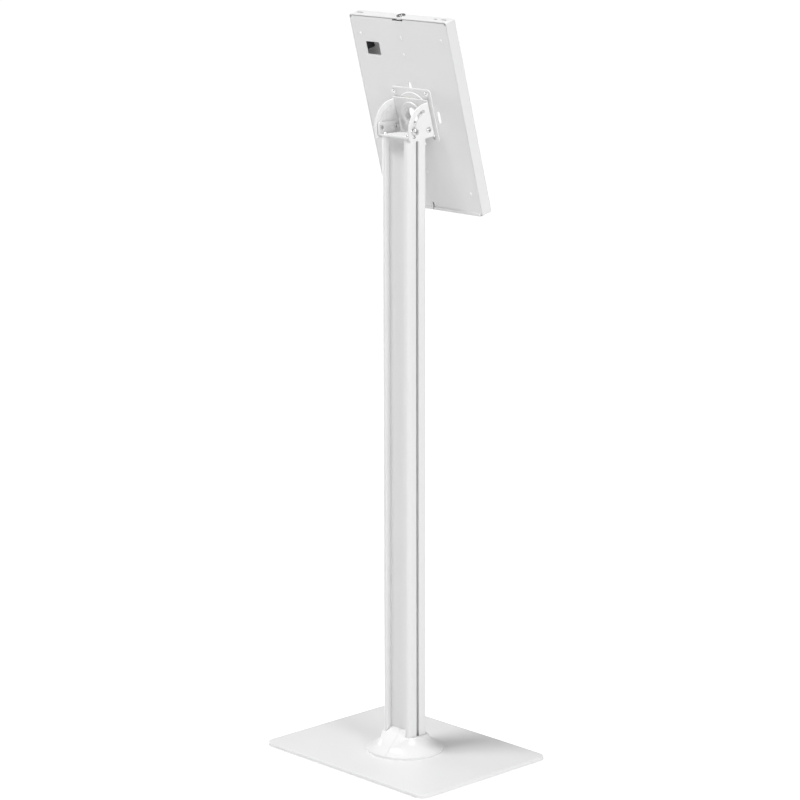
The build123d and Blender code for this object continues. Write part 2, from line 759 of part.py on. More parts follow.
# Front cover: a deep lid with a screen opening, button slots and a lip that hooks under the tray
with BuildPart() as front_cover:
    with BuildSketch(level(0)):
        with Locations((0, case_middle)):
            RectangleRounded(case_width, case_height, case_corner_radius)
    extrude(amount=case_depth)
    fillet(front_cover.faces().sort_by(backward)[0].edges(), case_edge_radius)
    with BuildSketch(level(0)):
        with Locations((0, case_middle)):
            RectangleRounded(
                case_width - 2 * case_sheet, case_height - 2 * case_sheet, case_corner_radius - case_sheet
            )
    extrude(amount=cover_inside, mode=Mode.SUBTRACT)
    with BuildSketch(level(cover_inside - overrun)):
        RectangleRounded(screen_width, screen_height, screen_corner_radius)
    extrude(amount=case_sheet + 2 * overrun, mode=Mode.SUBTRACT)
    with BuildSketch(level(-case_sheet - slip_gap)):
        with Locations((0, -case_below_hub)):
            Rectangle(case_width - 2 * lip_corner_trim, lip_height, align=(Align.CENTER, Align.MIN))
            Rectangle(
                bottom_notch_width, 2 * lip_height, align=(Align.CENTER, Align.CENTER), mode=Mode.SUBTRACT
            )
    extrude(amount=case_sheet)
    with BuildSketch(level(-case_sheet - slip_gap)):
        with Locations((0, -case_below_hub)):
            Rectangle(case_width - 2 * lip_corner_trim, case_sheet, align=(Align.CENTER, Align.MIN))
    extrude(amount=case_sheet + slip_gap + fit_gap)
    top_wall = Plane(
        origin=case_centre + up_dir * wall_inside - back_dir * lock_depth, x_dir=(1, 0, 0), z_dir=up_dir
    )
    with BuildSketch(top_wall.offset(-fit_gap)):
        Circle(lock_body_radius + fit_gap)
        with Locations((long_button_side, 0)):
            SlotOverall(long_button_slot, button_slot_width)
        with Locations((-short_button_side, 0)):
            SlotOverall(short_button_slot, button_slot_width)
        with Locations((-mid_button_side, 0)):
            SlotOverall(mid_button_slot, button_slot_width)
    extrude(amount=case_sheet + overrun, mode=Mode.SUBTRACT)
finish(front_cover.part, "front_cover")


# Corner holders: L-shaped bars round the tablet's corners, with a ledge under its short edges
pocket_x = tablet_width / 2 + tablet_gap
pocket_y = tablet_height / 2 + tablet_gap
ledge = tablet_back - holder_pad - fit_gap
holder_span = holder_leg + holder_wall
with BuildPart() as corner_holders:
    with BuildSketch(level(case_sheet)):
        with GridLocations(2 * pocket_x + holder_wall - holder_leg, 2 * pocket_y + holder_wall - holder_leg, 2, 2):
            RectangleRounded(holder_span, holder_span, holder_corner_radius)
        Rectangle(2 * pocket_x, 2 * (pocket_y - holder_ledge), mode=Mode.SUBTRACT)
        with GridLocations(2 * holder_screw_side, 2 * holder_screw_up, 2, 2):
            Circle(holder_screw_radius + fit_gap, mode=Mode.SUBTRACT)
    extrude(amount=tablet_front - case_sheet - slip_gap)
    with BuildSketch(level(ledge)):
        Rectangle(2 * pocket_x, 2 * pocket_y)
    extrude(amount=tablet_front, mode=Mode.SUBTRACT)
finish(corner_holders.part, "corner_holders")

# Foam strips on the ledges
with BuildPart() as tablet_pads:
    with BuildSketch(level(ledge)):
        with GridLocations(2 * pocket_x - holder_leg, 2 * pocket_y - holder_ledge, 2, 2):
            Rectangle(holder_leg - holder_corner_radius, holder_ledge - holder_pad)
    extrude(amount=holder_pad)
finish(tablet_pads.part, "tablet_pads")

# Screws that hold the corner holders, put in from behind
with BuildPart() as holder_screws:
    with BuildSketch(level(-holder_head_height)):
        with GridLocations(2 * holder_screw_side, 2 * holder_screw_up, 2, 2):
            Circle(holder_head_radius)
    extrude(amount=holder_head_height)
    heads = holder_screws.faces().sort_by(backward)[-4:]
    fillet(heads.edges(), holder_head_height / 2)
    with BuildSketch(level(0)):
        with GridLocations(2 * holder_screw_side, 2 * holder_screw_up, 2, 2):
            Circle(holder_screw_radius)
    extrude(amount=tablet_back)
finish(holder_screws.part, "holder_screws")

# Keeper: a folded bracket whose window takes the lock's cam
window_half = cam_thickness / 2 + keeper_window_margin
with BuildPart() as lock_keeper:
    with BuildSketch(level(case_sheet)):
        with Locations((0, (keeper_foot_low + keeper_tab_low) / 2)):
            Rectangle(keeper_width, keeper_tab_low - keeper_foot_low)
        with Locations((tab_inside + keeper_sheet, keeper_tab_low)):
            Rectangle(keeper_strip, keeper_foot_high - keeper_tab_low, align=(Align.MAX, Align.MIN))
        with Locations((0, upper_rivet_up), (0, middle_rivet_up)):
            Circle(rivet_radius + fit_gap, mode=Mode.SUBTRACT)
    extrude(amount=keeper_sheet)
    with BuildSketch(level(case_sheet)):
        with Locations((tab_inside, keeper_tab_low)):
            Rectangle(keeper_sheet, keeper_foot_high - keeper_tab_low, align=(Align.MIN, Align.MIN))
    extrude(amount=keeper_tab_height)
    tab_place = case_centre + Vector(tab_inside - overrun, 0, 0)
    tab_plane = Plane(origin=tab_place, x_dir=up_dir, z_dir=(1, 0, 0))
    cam_middle = cam_top - cam_thickness / 2
    cam_corner = (cam_reach ** 2 + (cam_width / 2) ** 2) ** 0.5
    window_low = lock_depth - (cam_corner ** 2 - tab_inside ** 2) ** 0.5 - slip_gap
    window_high = lock_depth + cam_width / 2 + keeper_window_margin
    with BuildSketch(tab_plane):
        with Locations((cam_middle, (window_low + window_high) / 2)):
            Rectangle(2 * window_half, window_high - window_low)
    extrude(amount=keeper_sheet + 2 * overrun, mode=Mode.SUBTRACT)
finish(lock_keeper.part, "lock_keeper")

# Cable clip on the tray, held by the lowest rivet
clip_low = -lower_rivet_down - clip_foot_length / 2
clip_turn = clip_low + clip_foot_length
clip_high = clip_turn + clip_bridge_length
clip_under = case_sheet + clip_bridge_height - keeper_sheet
clip_place = case_centre - Vector(clip_width / 2, 0, 0)
with BuildPart() as cable_clip:
    with BuildSketch(Plane(origin=clip_place, x_dir=up_dir, z_dir=(1, 0, 0))):
        with BuildLine():
            Polyline(
                (clip_low, case_sheet),
                (clip_turn, case_sheet),
                (clip_turn, clip_under),
                (clip_high - keeper_sheet, clip_under),
                (clip_high - keeper_sheet, case_sheet + clip_end_gap),
                (clip_high, case_sheet + clip_end_gap),
                (clip_high, clip_under + keeper_sheet),
                (clip_turn - keeper_sheet, clip_under + keeper_sheet),
                (clip_turn - keeper_sheet, case_sheet + keeper_sheet),
                (clip_low, case_sheet + keeper_sheet),
                close=True,
            )
        make_face()
    extrude(amount=clip_width)
    with BuildSketch(level(case_sheet)):
        with Locations((0, -lower_rivet_down)):
            Circle(rivet_radius + fit_gap)
    extrude(amount=keeper_sheet, mode=Mode.SUBTRACT)
finish(cable_clip.part, "cable_clip")

# Rivets on the centre line, with a head on each side
with BuildPart() as tray_rivets:
    for place in (upper_rivet_up, middle_rivet_up, -lower_rivet_down):
        with BuildSketch(level(-rivet_head_height)):
            with Locations((0, place)):
                Circle(rivet_head_radius)
        extrude(amount=rivet_head_height)
        with BuildSketch(level(0)):
            with Locations((0, place)):
                Circle(rivet_radius)
        extrude(amount=case_sheet + keeper_sheet)
        with BuildSketch(level(case_sheet + keeper_sheet)):
            with Locations((0, place)):
                Circle(rivet_head_radius)
        extrude(amount=rivet_head_height)
    outer_heads = tray_rivets.faces().sort_by(backward)[-3:]
    fillet(outer_heads.edges(), rivet_head_height / 2)
finish(tray_rivets.part, "tray_rivets")

# Lock body: a bezel outside the cover's top wall and a sleeve inside it
lock_plane = Plane(origin=case_centre - back_dir * lock_depth, x_dir=(1, 0, 0), z_dir=up_dir)
with BuildPart() as lock_body:
    with BuildSketch(lock_plane.offset(wall_top)):
        Circle(lock_bezel_radius)
    extrude(amount=lock_bezel_height)
    bezel_edge = lock_body.faces().sort_by(upward)[-1].edges()
    fillet(bezel_edge, lock_bezel_round)
    with BuildSketch(lock_plane.offset(lock_body_end)):
        Circle(lock_body_radius)
    extrude(amount=wall_top - lock_body_end)
    with BuildSketch(lock_plane.offset(lock_body_end)):
        Circle(plug_radius + fit_gap)
    extrude(amount=wall_top - lock_body_end + lock_bezel_height, mode=Mode.SUBTRACT)
finish(lock_body.part, "lock_body")

# Nut that draws the lock body up against the wall
with BuildPart() as lock_nut:
    with BuildSketch(lock_plane.offset(wall_inside - lock_nut_height)):
        RegularPolygon(lock_nut_width / 2, 6, major_radius=False)
        Circle(lock_body_radius + fit_gap, mode=Mode.SUBTRACT)
    extrude(amount=lock_nut_height)
finish(lock_nut.part, "lock_nut")

# Lock plug with its key slot
with BuildPart() as lock_plug:
    with BuildSketch(lock_plane.offset(cam_top)):
        Circle(plug_radius)
    extrude(amount=wall_top + lock_bezel_height - cam_top)
    with BuildSketch(lock_plane.offset(wall_top + lock_bezel_height)):
        Rectangle(key_slot_width, key_slot_length)
    extrude(amount=-key_slot_depth, mode=Mode.SUBTRACT)
    with BuildSketch(lock_plane.offset(cam_top)):
        Circle(cam_screw_radius + fit_gap)
    extrude(amount=lock_body_length / 2, mode=Mode.SUBTRACT)
finish(lock_plug.part, "lock_plug")

# Cam: points at the tray plate when unlocked and at the keeper when locked
with BuildPart() as lock_cam:
    with BuildSketch(lock_plane.offset(cam_top - cam_thickness)):
        Circle(plug_radius)
        Rectangle(cam_width, cam_reach, align=(Align.CENTER, Align.MIN))
        Circle(cam_screw_radius + fit_gap, mode=Mode.SUBTRACT)
    extrude(amount=cam_thickness)
finish(lock_cam.part, "lock_cam")

# Screw that holds the cam on the plug
with BuildPart() as cam_screw:
    with BuildSketch(lock_plane.offset(cam_top - cam_thickness)):
        Circle(cam_screw_radius)
    extrude(amount=cam_thickness + lock_body_length / 2 - fit_gap)
    with BuildSketch(lock_plane.offset(cam_top - cam_thickness - cam_screw_head_height)):
        Circle(cam_screw_head_radius)
    extrude(amount=cam_screw_head_height)
finish(cam_screw.part, "cam_screw")
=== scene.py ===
# An adjustable tablet floor stand: a flat steel base, a slotted column and a tablet case
# that tilts on two quadrants and turns on a hollow hub. Blender units are metres. The
# operators draw their shapes in millimetres, and settle() brings each piece to metres.

import json
from functools import cache
from math import acos, asin, atan2, cos, degrees, pi, radians, sin, tan

import bmesh
import bpy
from mathutils import Matrix, Vector


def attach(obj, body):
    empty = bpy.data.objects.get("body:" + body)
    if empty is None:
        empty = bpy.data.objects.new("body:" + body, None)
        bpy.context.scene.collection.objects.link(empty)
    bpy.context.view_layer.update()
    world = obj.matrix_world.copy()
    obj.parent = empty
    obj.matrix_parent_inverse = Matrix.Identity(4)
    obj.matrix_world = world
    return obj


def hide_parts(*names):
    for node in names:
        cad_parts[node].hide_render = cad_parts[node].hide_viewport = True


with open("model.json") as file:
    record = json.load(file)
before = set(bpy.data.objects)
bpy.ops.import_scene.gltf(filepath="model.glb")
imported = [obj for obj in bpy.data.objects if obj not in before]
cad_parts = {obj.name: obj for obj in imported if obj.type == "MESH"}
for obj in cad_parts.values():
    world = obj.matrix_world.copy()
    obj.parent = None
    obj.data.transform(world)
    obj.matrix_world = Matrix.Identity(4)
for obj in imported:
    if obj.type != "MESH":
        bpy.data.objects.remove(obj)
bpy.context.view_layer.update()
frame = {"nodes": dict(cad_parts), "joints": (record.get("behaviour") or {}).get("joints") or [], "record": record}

bl_info = {
    "name": "Tablet Floor Stand",
    "version": (1, 0, 0),
    "blender": (4, 5, 0),
    "location": "View3D > Sidebar > Floor Stand",
    "description": "Builds a tablet floor stand with a tilting and turning case",
    "category": "Add Mesh",
}

MM = 0.001

# How near vertices are welded, and how near to a plane they count as in it, in millimetres
WELD, NEAR = 0.001, 0.01

# Measures that pieces share, in millimetres; those of holes and bushes are radii
COLUMN_SCREW_HOLE = 2.7
PLATE_SCREW_HOLE = 2.2
HOLDER_SCREW_HOLE = 1.55
RIVET_HOLE = 1.65
BOLT_HOLE = 3.05
BUSH = 4.4
EAR_GAP = 0.7  # from an ear's outer face to the quadrant beside it
HUB_UP = 18.4  # the hub's centre above the tilt pivot, along the case
HUB_PLAY = 0.05  # between the hub's tube and the holes round it
RIVETS = (128.7, 99.7, -100.8)  # heights from the hub's centre
NOTCH = 1.7  # half the width of the notch in the case's lower edge
LOCK_DEEP = 10.5  # from the case's back to the middle of the lock and the button slots

# Places that pieces share, in millimetres, from the joints of the frame
joint_of = {joint["name"]: joint for joint in frame["joints"]}
slot_of = {part["node"]: part["material_slot"] for part in frame["record"]["subparts"]}
pivot = Vector(joint_of["tilt"]["pos_m"]) / MM
hub_centre = Vector(joint_of["turn"]["pos_m"]) / MM
sideways = Vector((1, 0, 0))
to_screen = Vector(joint_of["turn"]["axis"]).normalized()
up_case = to_screen.cross(sideways)
leaning = Matrix((sideways, up_case, to_screen)).transposed().to_4x4()

# Standing pieces: the frame's own axes
standing = Matrix.Identity(4)
# Case: X to the side, Y up the case, Z towards the screen, from the hub's centre on the case's back
case_place = Matrix.Translation(hub_centre) @ leaning
# Quadrants: X away from the screen, Y up the case, Z out to the side, from the tilt pivot
quadrant_place = Matrix.Translation(pivot) @ leaning @ Matrix(
    ((0, 0, 1, 0), (0, 1, 0, 0), (-1, 0, 0, 0), (0, 0, 0, 1))
)
# Ears of the fixed yoke: X to the back, Y up, Z out to the side, from the tilt pivot
side_on = Matrix(((0, 0, 1, 0), (1, 0, 0, 0), (0, 1, 0, 0), (0, 0, 0, 1)))
ear_place = Matrix.Translation(pivot) @ side_on
# Exchanges X and Z, for a shape that is drawn flat and stands on its edge
on_edge = Matrix(((0, 0, 1, 0), (0, 1, 0, 0), (1, 0, 0, 0), (0, 0, 0, 1)))


def linear_colour(code):
    """An sRGB hex colour, such as "E8E8E6", as linear values with an alpha of 1."""
    shares = [int(code[i:i + 2], 16) / 255 for i in (0, 2, 4)]
    return tuple(s / 12.92 if s <= 0.04045 else ((s + 0.055) / 1.055) ** 2.4 for s in shares) + (1.0,)


def size(name, description, default):
    """A length that a user may change; its default is given in millimetres."""
    return bpy.props.FloatProperty(
        name=name, description=description, default=default * MM, min=0, unit="LENGTH"
    )


def tint(name, description, code):
    """A colour that a user may change."""
    return bpy.props.FloatVectorProperty(
        name=name, description=description, size=4, subtype="COLOR", default=linear_colour(code), min=0, max=1
    )


class StandSizes(bpy.types.PropertyGroup):
    """Sizes of the stand that a user would change."""

    base_width: size("Base width", "Width of the floor plate", 388)
    base_depth: size("Base depth", "Depth of the floor plate", 293)
    base_thickness: size("Base thickness", "Thickness of the floor plate", 6)
    base_corner: size("Base corner", "Corner radius of the floor plate", 18)
    base_edge: size("Base edge", "Rounding of the floor plate's upper edge", 1.5)
    foot_radius: size("Foot radius", "Radius of the rubber feet", 14)
    foot_height: size("Foot height", "Height of the rubber feet", 2)
    foot_inset: size("Foot inset", "Distance of the feet from the plate's edges", 34)
    column_width: size("Column width", "Width of the column's section", 62.6)
    column_depth: size("Column depth", "Depth of the column's section", 42.2)
    column_height: size("Column height", "Length of the column", 1038.5)
    column_corner: size("Column corner", "Corner radius of the column's section", 5)
    channel_width: size("Channel width", "Width of the column's cable channels", 44.6)
    channel_depth: size("Channel depth", "Depth of the column's cable channels", 10.2)
    slot_mouth: size("Slot mouth", "Width of the column's side slots", 5.7)
    trim_radius: size("Trim radius", "Radius of the foot trim", 65)
    trim_height: size("Trim height", "Height of the foot trim", 29.4)
    yoke_sheet: size("Yoke sheet", "Sheet thickness of the two yokes", 2.5)
    ear_outside: size("Ear outside", "Distance of the ears' outer faces from the middle", 37.3)
    lock_orbit: size("Lock orbit", "Distance of the lock bolts from the tilt pivot", 32.4)
    quadrant_radius: size("Quadrant radius", "Radius of the tilting quadrants", 43.8)
    arc_slot_width: size("Arc slot width", "Width of the quadrants' arc slots", 6.3)
    hub_bore: size("Hub bore", "Radius of the hole through the hub", 14)
    hub_tube: size("Hub tube", "Outer radius of the hub's tube", 17)
    hub_ring: size("Hub ring", "Radius of the ring on the hub's rear end", 23)
    plate_width: size("Turning plate width", "Width of the turning plate", 92)
    plate_height: size("Turning plate height", "Height of the turning plate", 89)
    plate_sheet: size("Turning plate sheet", "Sheet thickness of the turning plate", 2)
    disc_radius: size("Disc radius", "Radius of the plate's raised disc", 38)
    disc_rise: size("Disc rise", "Height of the plate's raised disc", 1.2)
    screw_square: size("Screw square", "Side of the plate's screw square", 75)
    case_width: size("Case width", "Width of the case", 225)
    case_above: size("Case above hub", "Height of the case above the hub's centre", 162.5)
    case_below: size("Case below hub", "Height of the case below the hub's centre", 166.8)
    case_depth: size("Case depth", "Depth of the case", 22)
    case_sheet: size("Case sheet", "Sheet thickness of the case", 1.5)
    screen_width: size("Screen width", "Width of the screen opening", 156)
    screen_height: size("Screen height", "Height of the screen opening", 208)
    edge_break: size("Edge break", "Width of the softened edge on cut sheet", 0.35)


class StandColours(bpy.types.PropertyGroup):
    """Colours of the stand's finishes."""

    powder_coat: tint("Powder coat", "White powder coat on steel and aluminium", "EFEFEF")
    trim: tint("Foot trim", "White moulded trim round the column's foot", "F1F1F1")
    zinc: tint("Zinc", "Bright zinc on bolts and screws", "EDEDED")
    inside_black: tint("Inside black", "Black plastic inside the case", "26262A")


class Millimetres:
    """Reads the stand's sizes, each by its name, in millimetres."""

    def __getattr__(self, name):
        return getattr(bpy.context.scene.stand_sizes, name) / MM


mm = Millimetres()


def cleared(owner):
    """The emptied node tree of a material or a world."""
    owner.use_nodes = True
    owner.node_tree.nodes.clear()
    return owner.node_tree


def add_node(tree, kind, settings=None, links=None):
    """A shader node with its settings, and its inputs linked from other nodes' outputs."""
    node = tree.nodes.new(kind)
    for key, value in (settings or {}).items():
        if isinstance(key, int) or key in node.inputs:
            node.inputs[key].default_value = value
        else:
            setattr(node, key, value)
    for key, (source, output) in (links or {}).items():
        tree.links.new(source.outputs[output], node.inputs[key])
    return node


def split_by_camera(tree, output, unseen, seen):
    """End a tree with one shader for the camera's view and another for all other light."""
    path = add_node(tree, "ShaderNodeLightPath")
    links = {"Fac": (path, "Is Camera Ray"), 1: unseen, 2: seen}
    mix = add_node(tree, "ShaderNodeMixShader", links=links)
    add_node(tree, output, links={"Surface": (mix, "Shader")})


def finish(name, colour, shade, gloss, relief, plain):
    """A node material that follows noise in the object's own coordinates.

    shade and gloss, each (waves, detail, low, high), scale the colour and set the roughness; relief
    is (waves, detail, strength, depth). Waves, one or three lengths, and depth are in millimetres.
    """
    material = bpy.data.materials.get(name) or bpy.data.materials.new(name)
    tree = cleared(material)
    place = add_node(tree, "ShaderNodeTexCoord")

    def noise(waves, detail):
        lengths = waves if isinstance(waves, tuple) else (waves, waves, waves)
        scale = [1 / (wave * MM) for wave in lengths]
        spot = add_node(tree, "ShaderNodeMapping", {"Scale": scale}, {"Vector": (place, "Object")})
        values = {"Scale": 1.0, "Detail": detail}
        return add_node(tree, "ShaderNodeTexNoise", values, {"Vector": (spot, "Vector")}), "Fac"

    def spread(waves, detail, low, high):
        source = {"Value": noise(waves, detail)}
        return add_node(tree, "ShaderNodeMapRange", {"To Min": low, "To Max": high}, source), "Result"

    links = {}
    if shade:
        whole, share = {"operation": "SCALE", 0: colour[:3]}, {"Scale": spread(*shade)}
        links["Base Color"] = add_node(tree, "ShaderNodeVectorMath", whole, share), "Vector"
    else:
        plain["Base Color"] = colour
    if gloss:
        links["Roughness"] = spread(*gloss)
    if relief:
        waves, detail, strength, depth = relief
        bumps = {"Strength": strength, "Distance": depth * MM}
        links["Normal"] = add_node(tree, "ShaderNodeBump", bumps, {"Height": noise(waves, detail)}), "Normal"
    shader = add_node(tree, "ShaderNodeBsdfPrincipled", plain, links)
    add_node(tree, "ShaderNodeOutputMaterial", links={"Surface": (shader, "BSDF")})
    return material


def plated(name, colour, roughness, mark):
    """A plated metal: full metallic, with fine tumbling marks that vary its gloss."""
    return finish(name, colour, None, (mark, 4.0, roughness * 0.7, roughness * 1.4), None, {"Metallic": 1.0})


def polymer(name, colour, roughness, grain, depth):
    """A plain rubber or plastic with a grain of the given size and depth."""
    shade, relief = (grain, 4.0, 0.85, 1.15), (grain, 4.0, 0.4, depth)
    return finish(name, colour, shade, None, relief, {"Roughness": roughness})


@cache
def finish_of(slot):
    """The material of one of the record's slots, made at its first use."""
    colours = bpy.context.scene.stand_colours
    # baked white powder coat on steel, satin: its film drifts over about 60 mm, and its orange peel
    # has waves about 1.2 mm long
    coat = (
        finish, "white_powder_coat", colours.powder_coat, (60, 3.0, 0.985, 1.0), (60, 3.0, 0.36, 0.46),
        (1.2, 2.0, 0.25, 0.02), {},
    )
    die = (0.8, 0.8, 1000 / 1.5)
    makers = {
        "painted_steel": coat,
        "painted_fastener": coat,
        # powder-coated aluminium extrusion: faint draw lines 0.8 mm apart run along the whole column
        "painted_aluminium": (
            finish, "white_coated_extrusion", colours.powder_coat, (die, 2.0, 0.975, 1.0), None,
            (die, 2.0, 0.2, 0.015), {"Roughness": 0.4},
        ),
        # white injection-moulded ABS, softly glossy: the mould's spark-eroded grain is about 0.5 mm
        "trim_plastic": (
            finish, "white_moulded_abs", colours.trim, (35, 2.0, 0.985, 1.0), None, (0.5, 3.0, 0.15, 0.01),
            {"Roughness": 0.3, "IOR": 1.53},
        ),
        "zinc_steel": (plated, "bright_zinc_plate", colours.zinc, 0.2, 0.6),
        "lock_nickel": (plated, "polished_nickel_plate", linear_colour("BDBDBD"), 0.16, 0.5),
        "foot_rubber": (polymer, "moulded_black_rubber", linear_colour("1B1B1B"), 0.75, 0.8, 0.03),
        "washer_nylon": (polymer, "natural_nylon", linear_colour("DCDAD2"), 0.45, 0.7, 0.01),
        "holder_plastic": (polymer, "black_moulded_abs", colours.inside_black, 0.5, 0.6, 0.02),
        "pad_foam": (polymer, "closed_cell_foam", linear_colour("2C2C2E"), 0.9, 0.5, 0.1),
    }
    maker, *values = makers[slot]
    return maker(*values)


def settle(bm, place, name, body, replaced, edge=0.0):
    """Turn a finished bmesh into a piece in its place, with its finish and softened edges."""
    bmesh.ops.remove_doubles(bm, verts=bm.verts, dist=WELD)
    bmesh.ops.transform(bm, matrix=Matrix.Scale(MM, 4) @ place, verts=bm.verts)
    face_outwards(bm)
    mesh = bpy.data.meshes.new(name)
    bm.to_mesh(mesh)
    bm.free()
    mesh.materials.append(finish_of(slot_of[replaced[0]]))
    mesh.polygons.foreach_set("use_smooth", [True] * len(mesh.polygons))
    mesh.set_sharp_from_angle(angle=radians(32))
    piece = bpy.data.objects.new(name, mesh)
    bpy.context.scene.collection.objects.link(piece)
    if edge:
        soften = piece.modifiers.new("soften", "BEVEL")
        soften.width = edge * MM
        soften.segments = 2
        soften.limit_method = "ANGLE"
        soften.angle_limit = radians(50)
        soften.use_clamp_overlap = True
        soften.harden_normals = True
    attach(piece, body)
    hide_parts(*replaced)


def face_outwards(bm):
    """Point all the faces of a closed shape out of it, or those of an open sheet one way."""
    bm.normal_update()
    bmesh.ops.recalc_face_normals(bm, faces=bm.faces)


def lies(part, axis, place):
    """Whether an edge or a face lies in a plane across an axis."""
    return all(abs(vert.co[axis] - place) < NEAR for vert in part.verts)


def folds_of(bm, height=None):
    """Edges at which two faces meet at a right angle, all or only those at a height."""
    face_outwards(bm)
    sharp = [edge for edge in bm.edges if len(edge.link_faces) == 2 and edge.calc_face_angle() > 1]
    return [edge for edge in sharp if height is None or lies(edge, 2, height)]


def eased(bm, parts, offset, segments=6, affect="EDGES"):
    """Round edges or corners, starting at an offset from them."""
    bmesh.ops.bevel(
        bm, geom=parts, offset=offset, offset_type="OFFSET", segments=segments, profile=0.5, affect=affect,
        material=-1,
    )


def walled(bm, thickness, facing):
    """Give a folded sheet its thickness, behind the side that its largest face turns outwards."""
    bmesh.ops.remove_doubles(bm, verts=bm.verts, dist=WELD)
    face_outwards(bm)
    if max(bm.faces, key=lambda face: face.calc_area()).normal.dot(Vector(facing)) < 0:
        bmesh.ops.reverse_faces(bm, faces=bm.faces)
    bmesh.ops.solidify(bm, geom=bm.faces[:], thickness=thickness)


def once(parts):
    """Each of the parts once, in their order, so that every run makes the same mesh."""
    return list(dict.fromkeys(parts))


def verts_of(parts):
    """The vertices of some edges or faces, or those among an operator's output."""
    return once(v for p in parts for v in ([p] if isinstance(p, bmesh.types.BMVert) else p.verts))


def edges_since(bm, known):
    """The edges that were made after the known ones."""
    return [edge for edge in bm.edges if edge not in known]


def brought(bm, known, place):
    """Bring the vertices that were made after the known ones to their place, and return them."""
    fresh = [vert for vert in bm.verts if vert not in known]
    bmesh.ops.transform(bm, matrix=place, verts=fresh)
    return fresh


def lift(bm, parts, height):
    """Move edges, faces or vertices along Z."""
    bmesh.ops.translate(bm, vec=(0, 0, height), verts=verts_of(parts))


def raised(height):
    """A place above or below the origin."""
    return Matrix.Translation((0, 0, height))


def four(x, y):
    """A place and its mirror images, to the side, along and both."""
    return [(sx * x, sy * y) for sx in (1, -1) for sy in (1, -1)]


def joined(bm, verts):
    """Edges from vertex to vertex."""
    return [bm.edges.new(pair) for pair in zip(verts, verts[1:])]


def cornered(bm, corners, closed=True, segments=6):
    """A line through (x, y, radius) corners, each rounded to its radius, as its edges."""
    known = set(bm.edges)
    verts = [bm.verts.new((x, y, 0)) for x, y, radius in corners]
    joined(bm, verts + verts[:closed])
    for vert, (x, y, radius) in zip(verts, corners):
        if radius:
            one, other = (edge.other_vert(vert).co - vert.co for edge in vert.link_edges)
            eased(bm, [vert], radius / tan(one.angle(other) / 2), segments, "VERTICES")
    return edges_since(bm, known)


def closed_through(bm, known, last, corners, first):
    """Close a line of edges through (x, y) corners, and return all but the known ones."""
    joined(bm, [last] + [bm.verts.new((x, y, 0)) for x, y in corners] + [first])
    return edges_since(bm, known)


def rectangle(width, height, radius=0.0, centre=(0, 0)):
    """Corners of a rectangle about its centre, for cornered()."""
    x, y = centre
    sides = ((1, -1), (1, 1), (-1, 1), (-1, -1))
    return [(x + sx * width / 2, y + sy * height / 2, radius) for sx, sy in sides]


def rounded(bm, radius, centre=(0, 0), segments=48):
    """A circle, as its edges."""
    place = Matrix.Translation((*centre, 0))
    made = bmesh.ops.create_circle(bm, cap_ends=False, segments=segments, radius=radius, matrix=place)
    return once(edge for vert in made["verts"] for edge in vert.link_edges)


def slotted(bm, overall, width, centre=(0, 0), upright=False):
    """A slot's outline, as its edges: a circle whose two halves are drawn apart."""
    segments = 32
    half_step = Matrix.Rotation(pi / segments, 4, "Z")
    made = bmesh.ops.create_circle(
        bm, cap_ends=False, segments=segments, radius=width / 2, matrix=half_step
    )["verts"]
    for side in (1, -1):
        half = [vert for vert in made if vert.co.x * side > 0]
        bmesh.ops.translate(bm, vec=(side * (overall - width) / 2, 0, 0), verts=half)
    turn = Matrix.Rotation(pi / 2 if upright else 0, 4, "Z")
    bmesh.ops.transform(bm, matrix=Matrix.Translation((*centre, 0)) @ turn, verts=made)
    return once(edge for vert in made for edge in vert.link_edges)


def swung(bm, centre, start, sweep, steps):
    """Spin a vertex about a centre in XY by a sweep in degrees, and return the one at the arc's end."""
    made = bmesh.ops.spin(
        bm, geom=[start], cent=(*centre, 0), axis=(0, 0, 1), angle=radians(sweep), steps=steps
    )
    return made["geom_last"][0]


def spun(bm, parts, steps):
    """Spin a profile once round Z."""
    bmesh.ops.spin(bm, geom=parts, cent=(0, 0, 0), axis=(0, 0, 1), angle=2 * pi, steps=steps, use_merge=True)


def filled(bm, outline, *holes):
    """Flat faces inside an outline and outside its holes."""
    edges = list(outline) + [edge for hole in holes for edge in hole]
    made = bmesh.ops.triangle_fill(bm, use_beauty=True, use_dissolve=True, edges=edges)["geom"]
    return [part for part in made if isinstance(part, bmesh.types.BMFace) and part.is_valid]


def thickened(bm, faces, low, high):
    """Give flat faces at height 0 a thickness, from low to high."""
    lift(bm, faces, low)
    made = bmesh.ops.extrude_face_region(bm, geom=faces)["geom"]
    lift(bm, [part for part in made if isinstance(part, bmesh.types.BMVert)], high - low)


def drawn(bm, edges, rise, scale=1.0, centre=(0, 0)):
    """Draw a loop of edges out along Z as a wall, and return the loop at its far end."""
    old = set(verts_of(edges))
    made = bmesh.ops.extrude_edge_only(bm, edges=edges)["geom"]
    far = [vert for vert in verts_of(made) if vert not in old]
    middle = Matrix.Translation((*centre, 0))
    shrink = middle @ Matrix.Diagonal((scale, scale, 1, 1)) @ middle.inverted()
    bmesh.ops.transform(bm, matrix=raised(rise) @ shrink, verts=far)
    return once(edge for vert in far for edge in vert.link_edges if old.isdisjoint(edge.verts))


def cut(bm, parts, point, normal):
    """Cut away what lies beyond a plane, and close the cut."""
    made = bmesh.ops.bisect_plane(
        bm, geom=parts, dist=WELD, plane_co=point, plane_no=normal, clear_outer=True
    )["geom_cut"]
    bmesh.ops.holes_fill(bm, edges=[part for part in made if isinstance(part, bmesh.types.BMEdge)], sides=0)


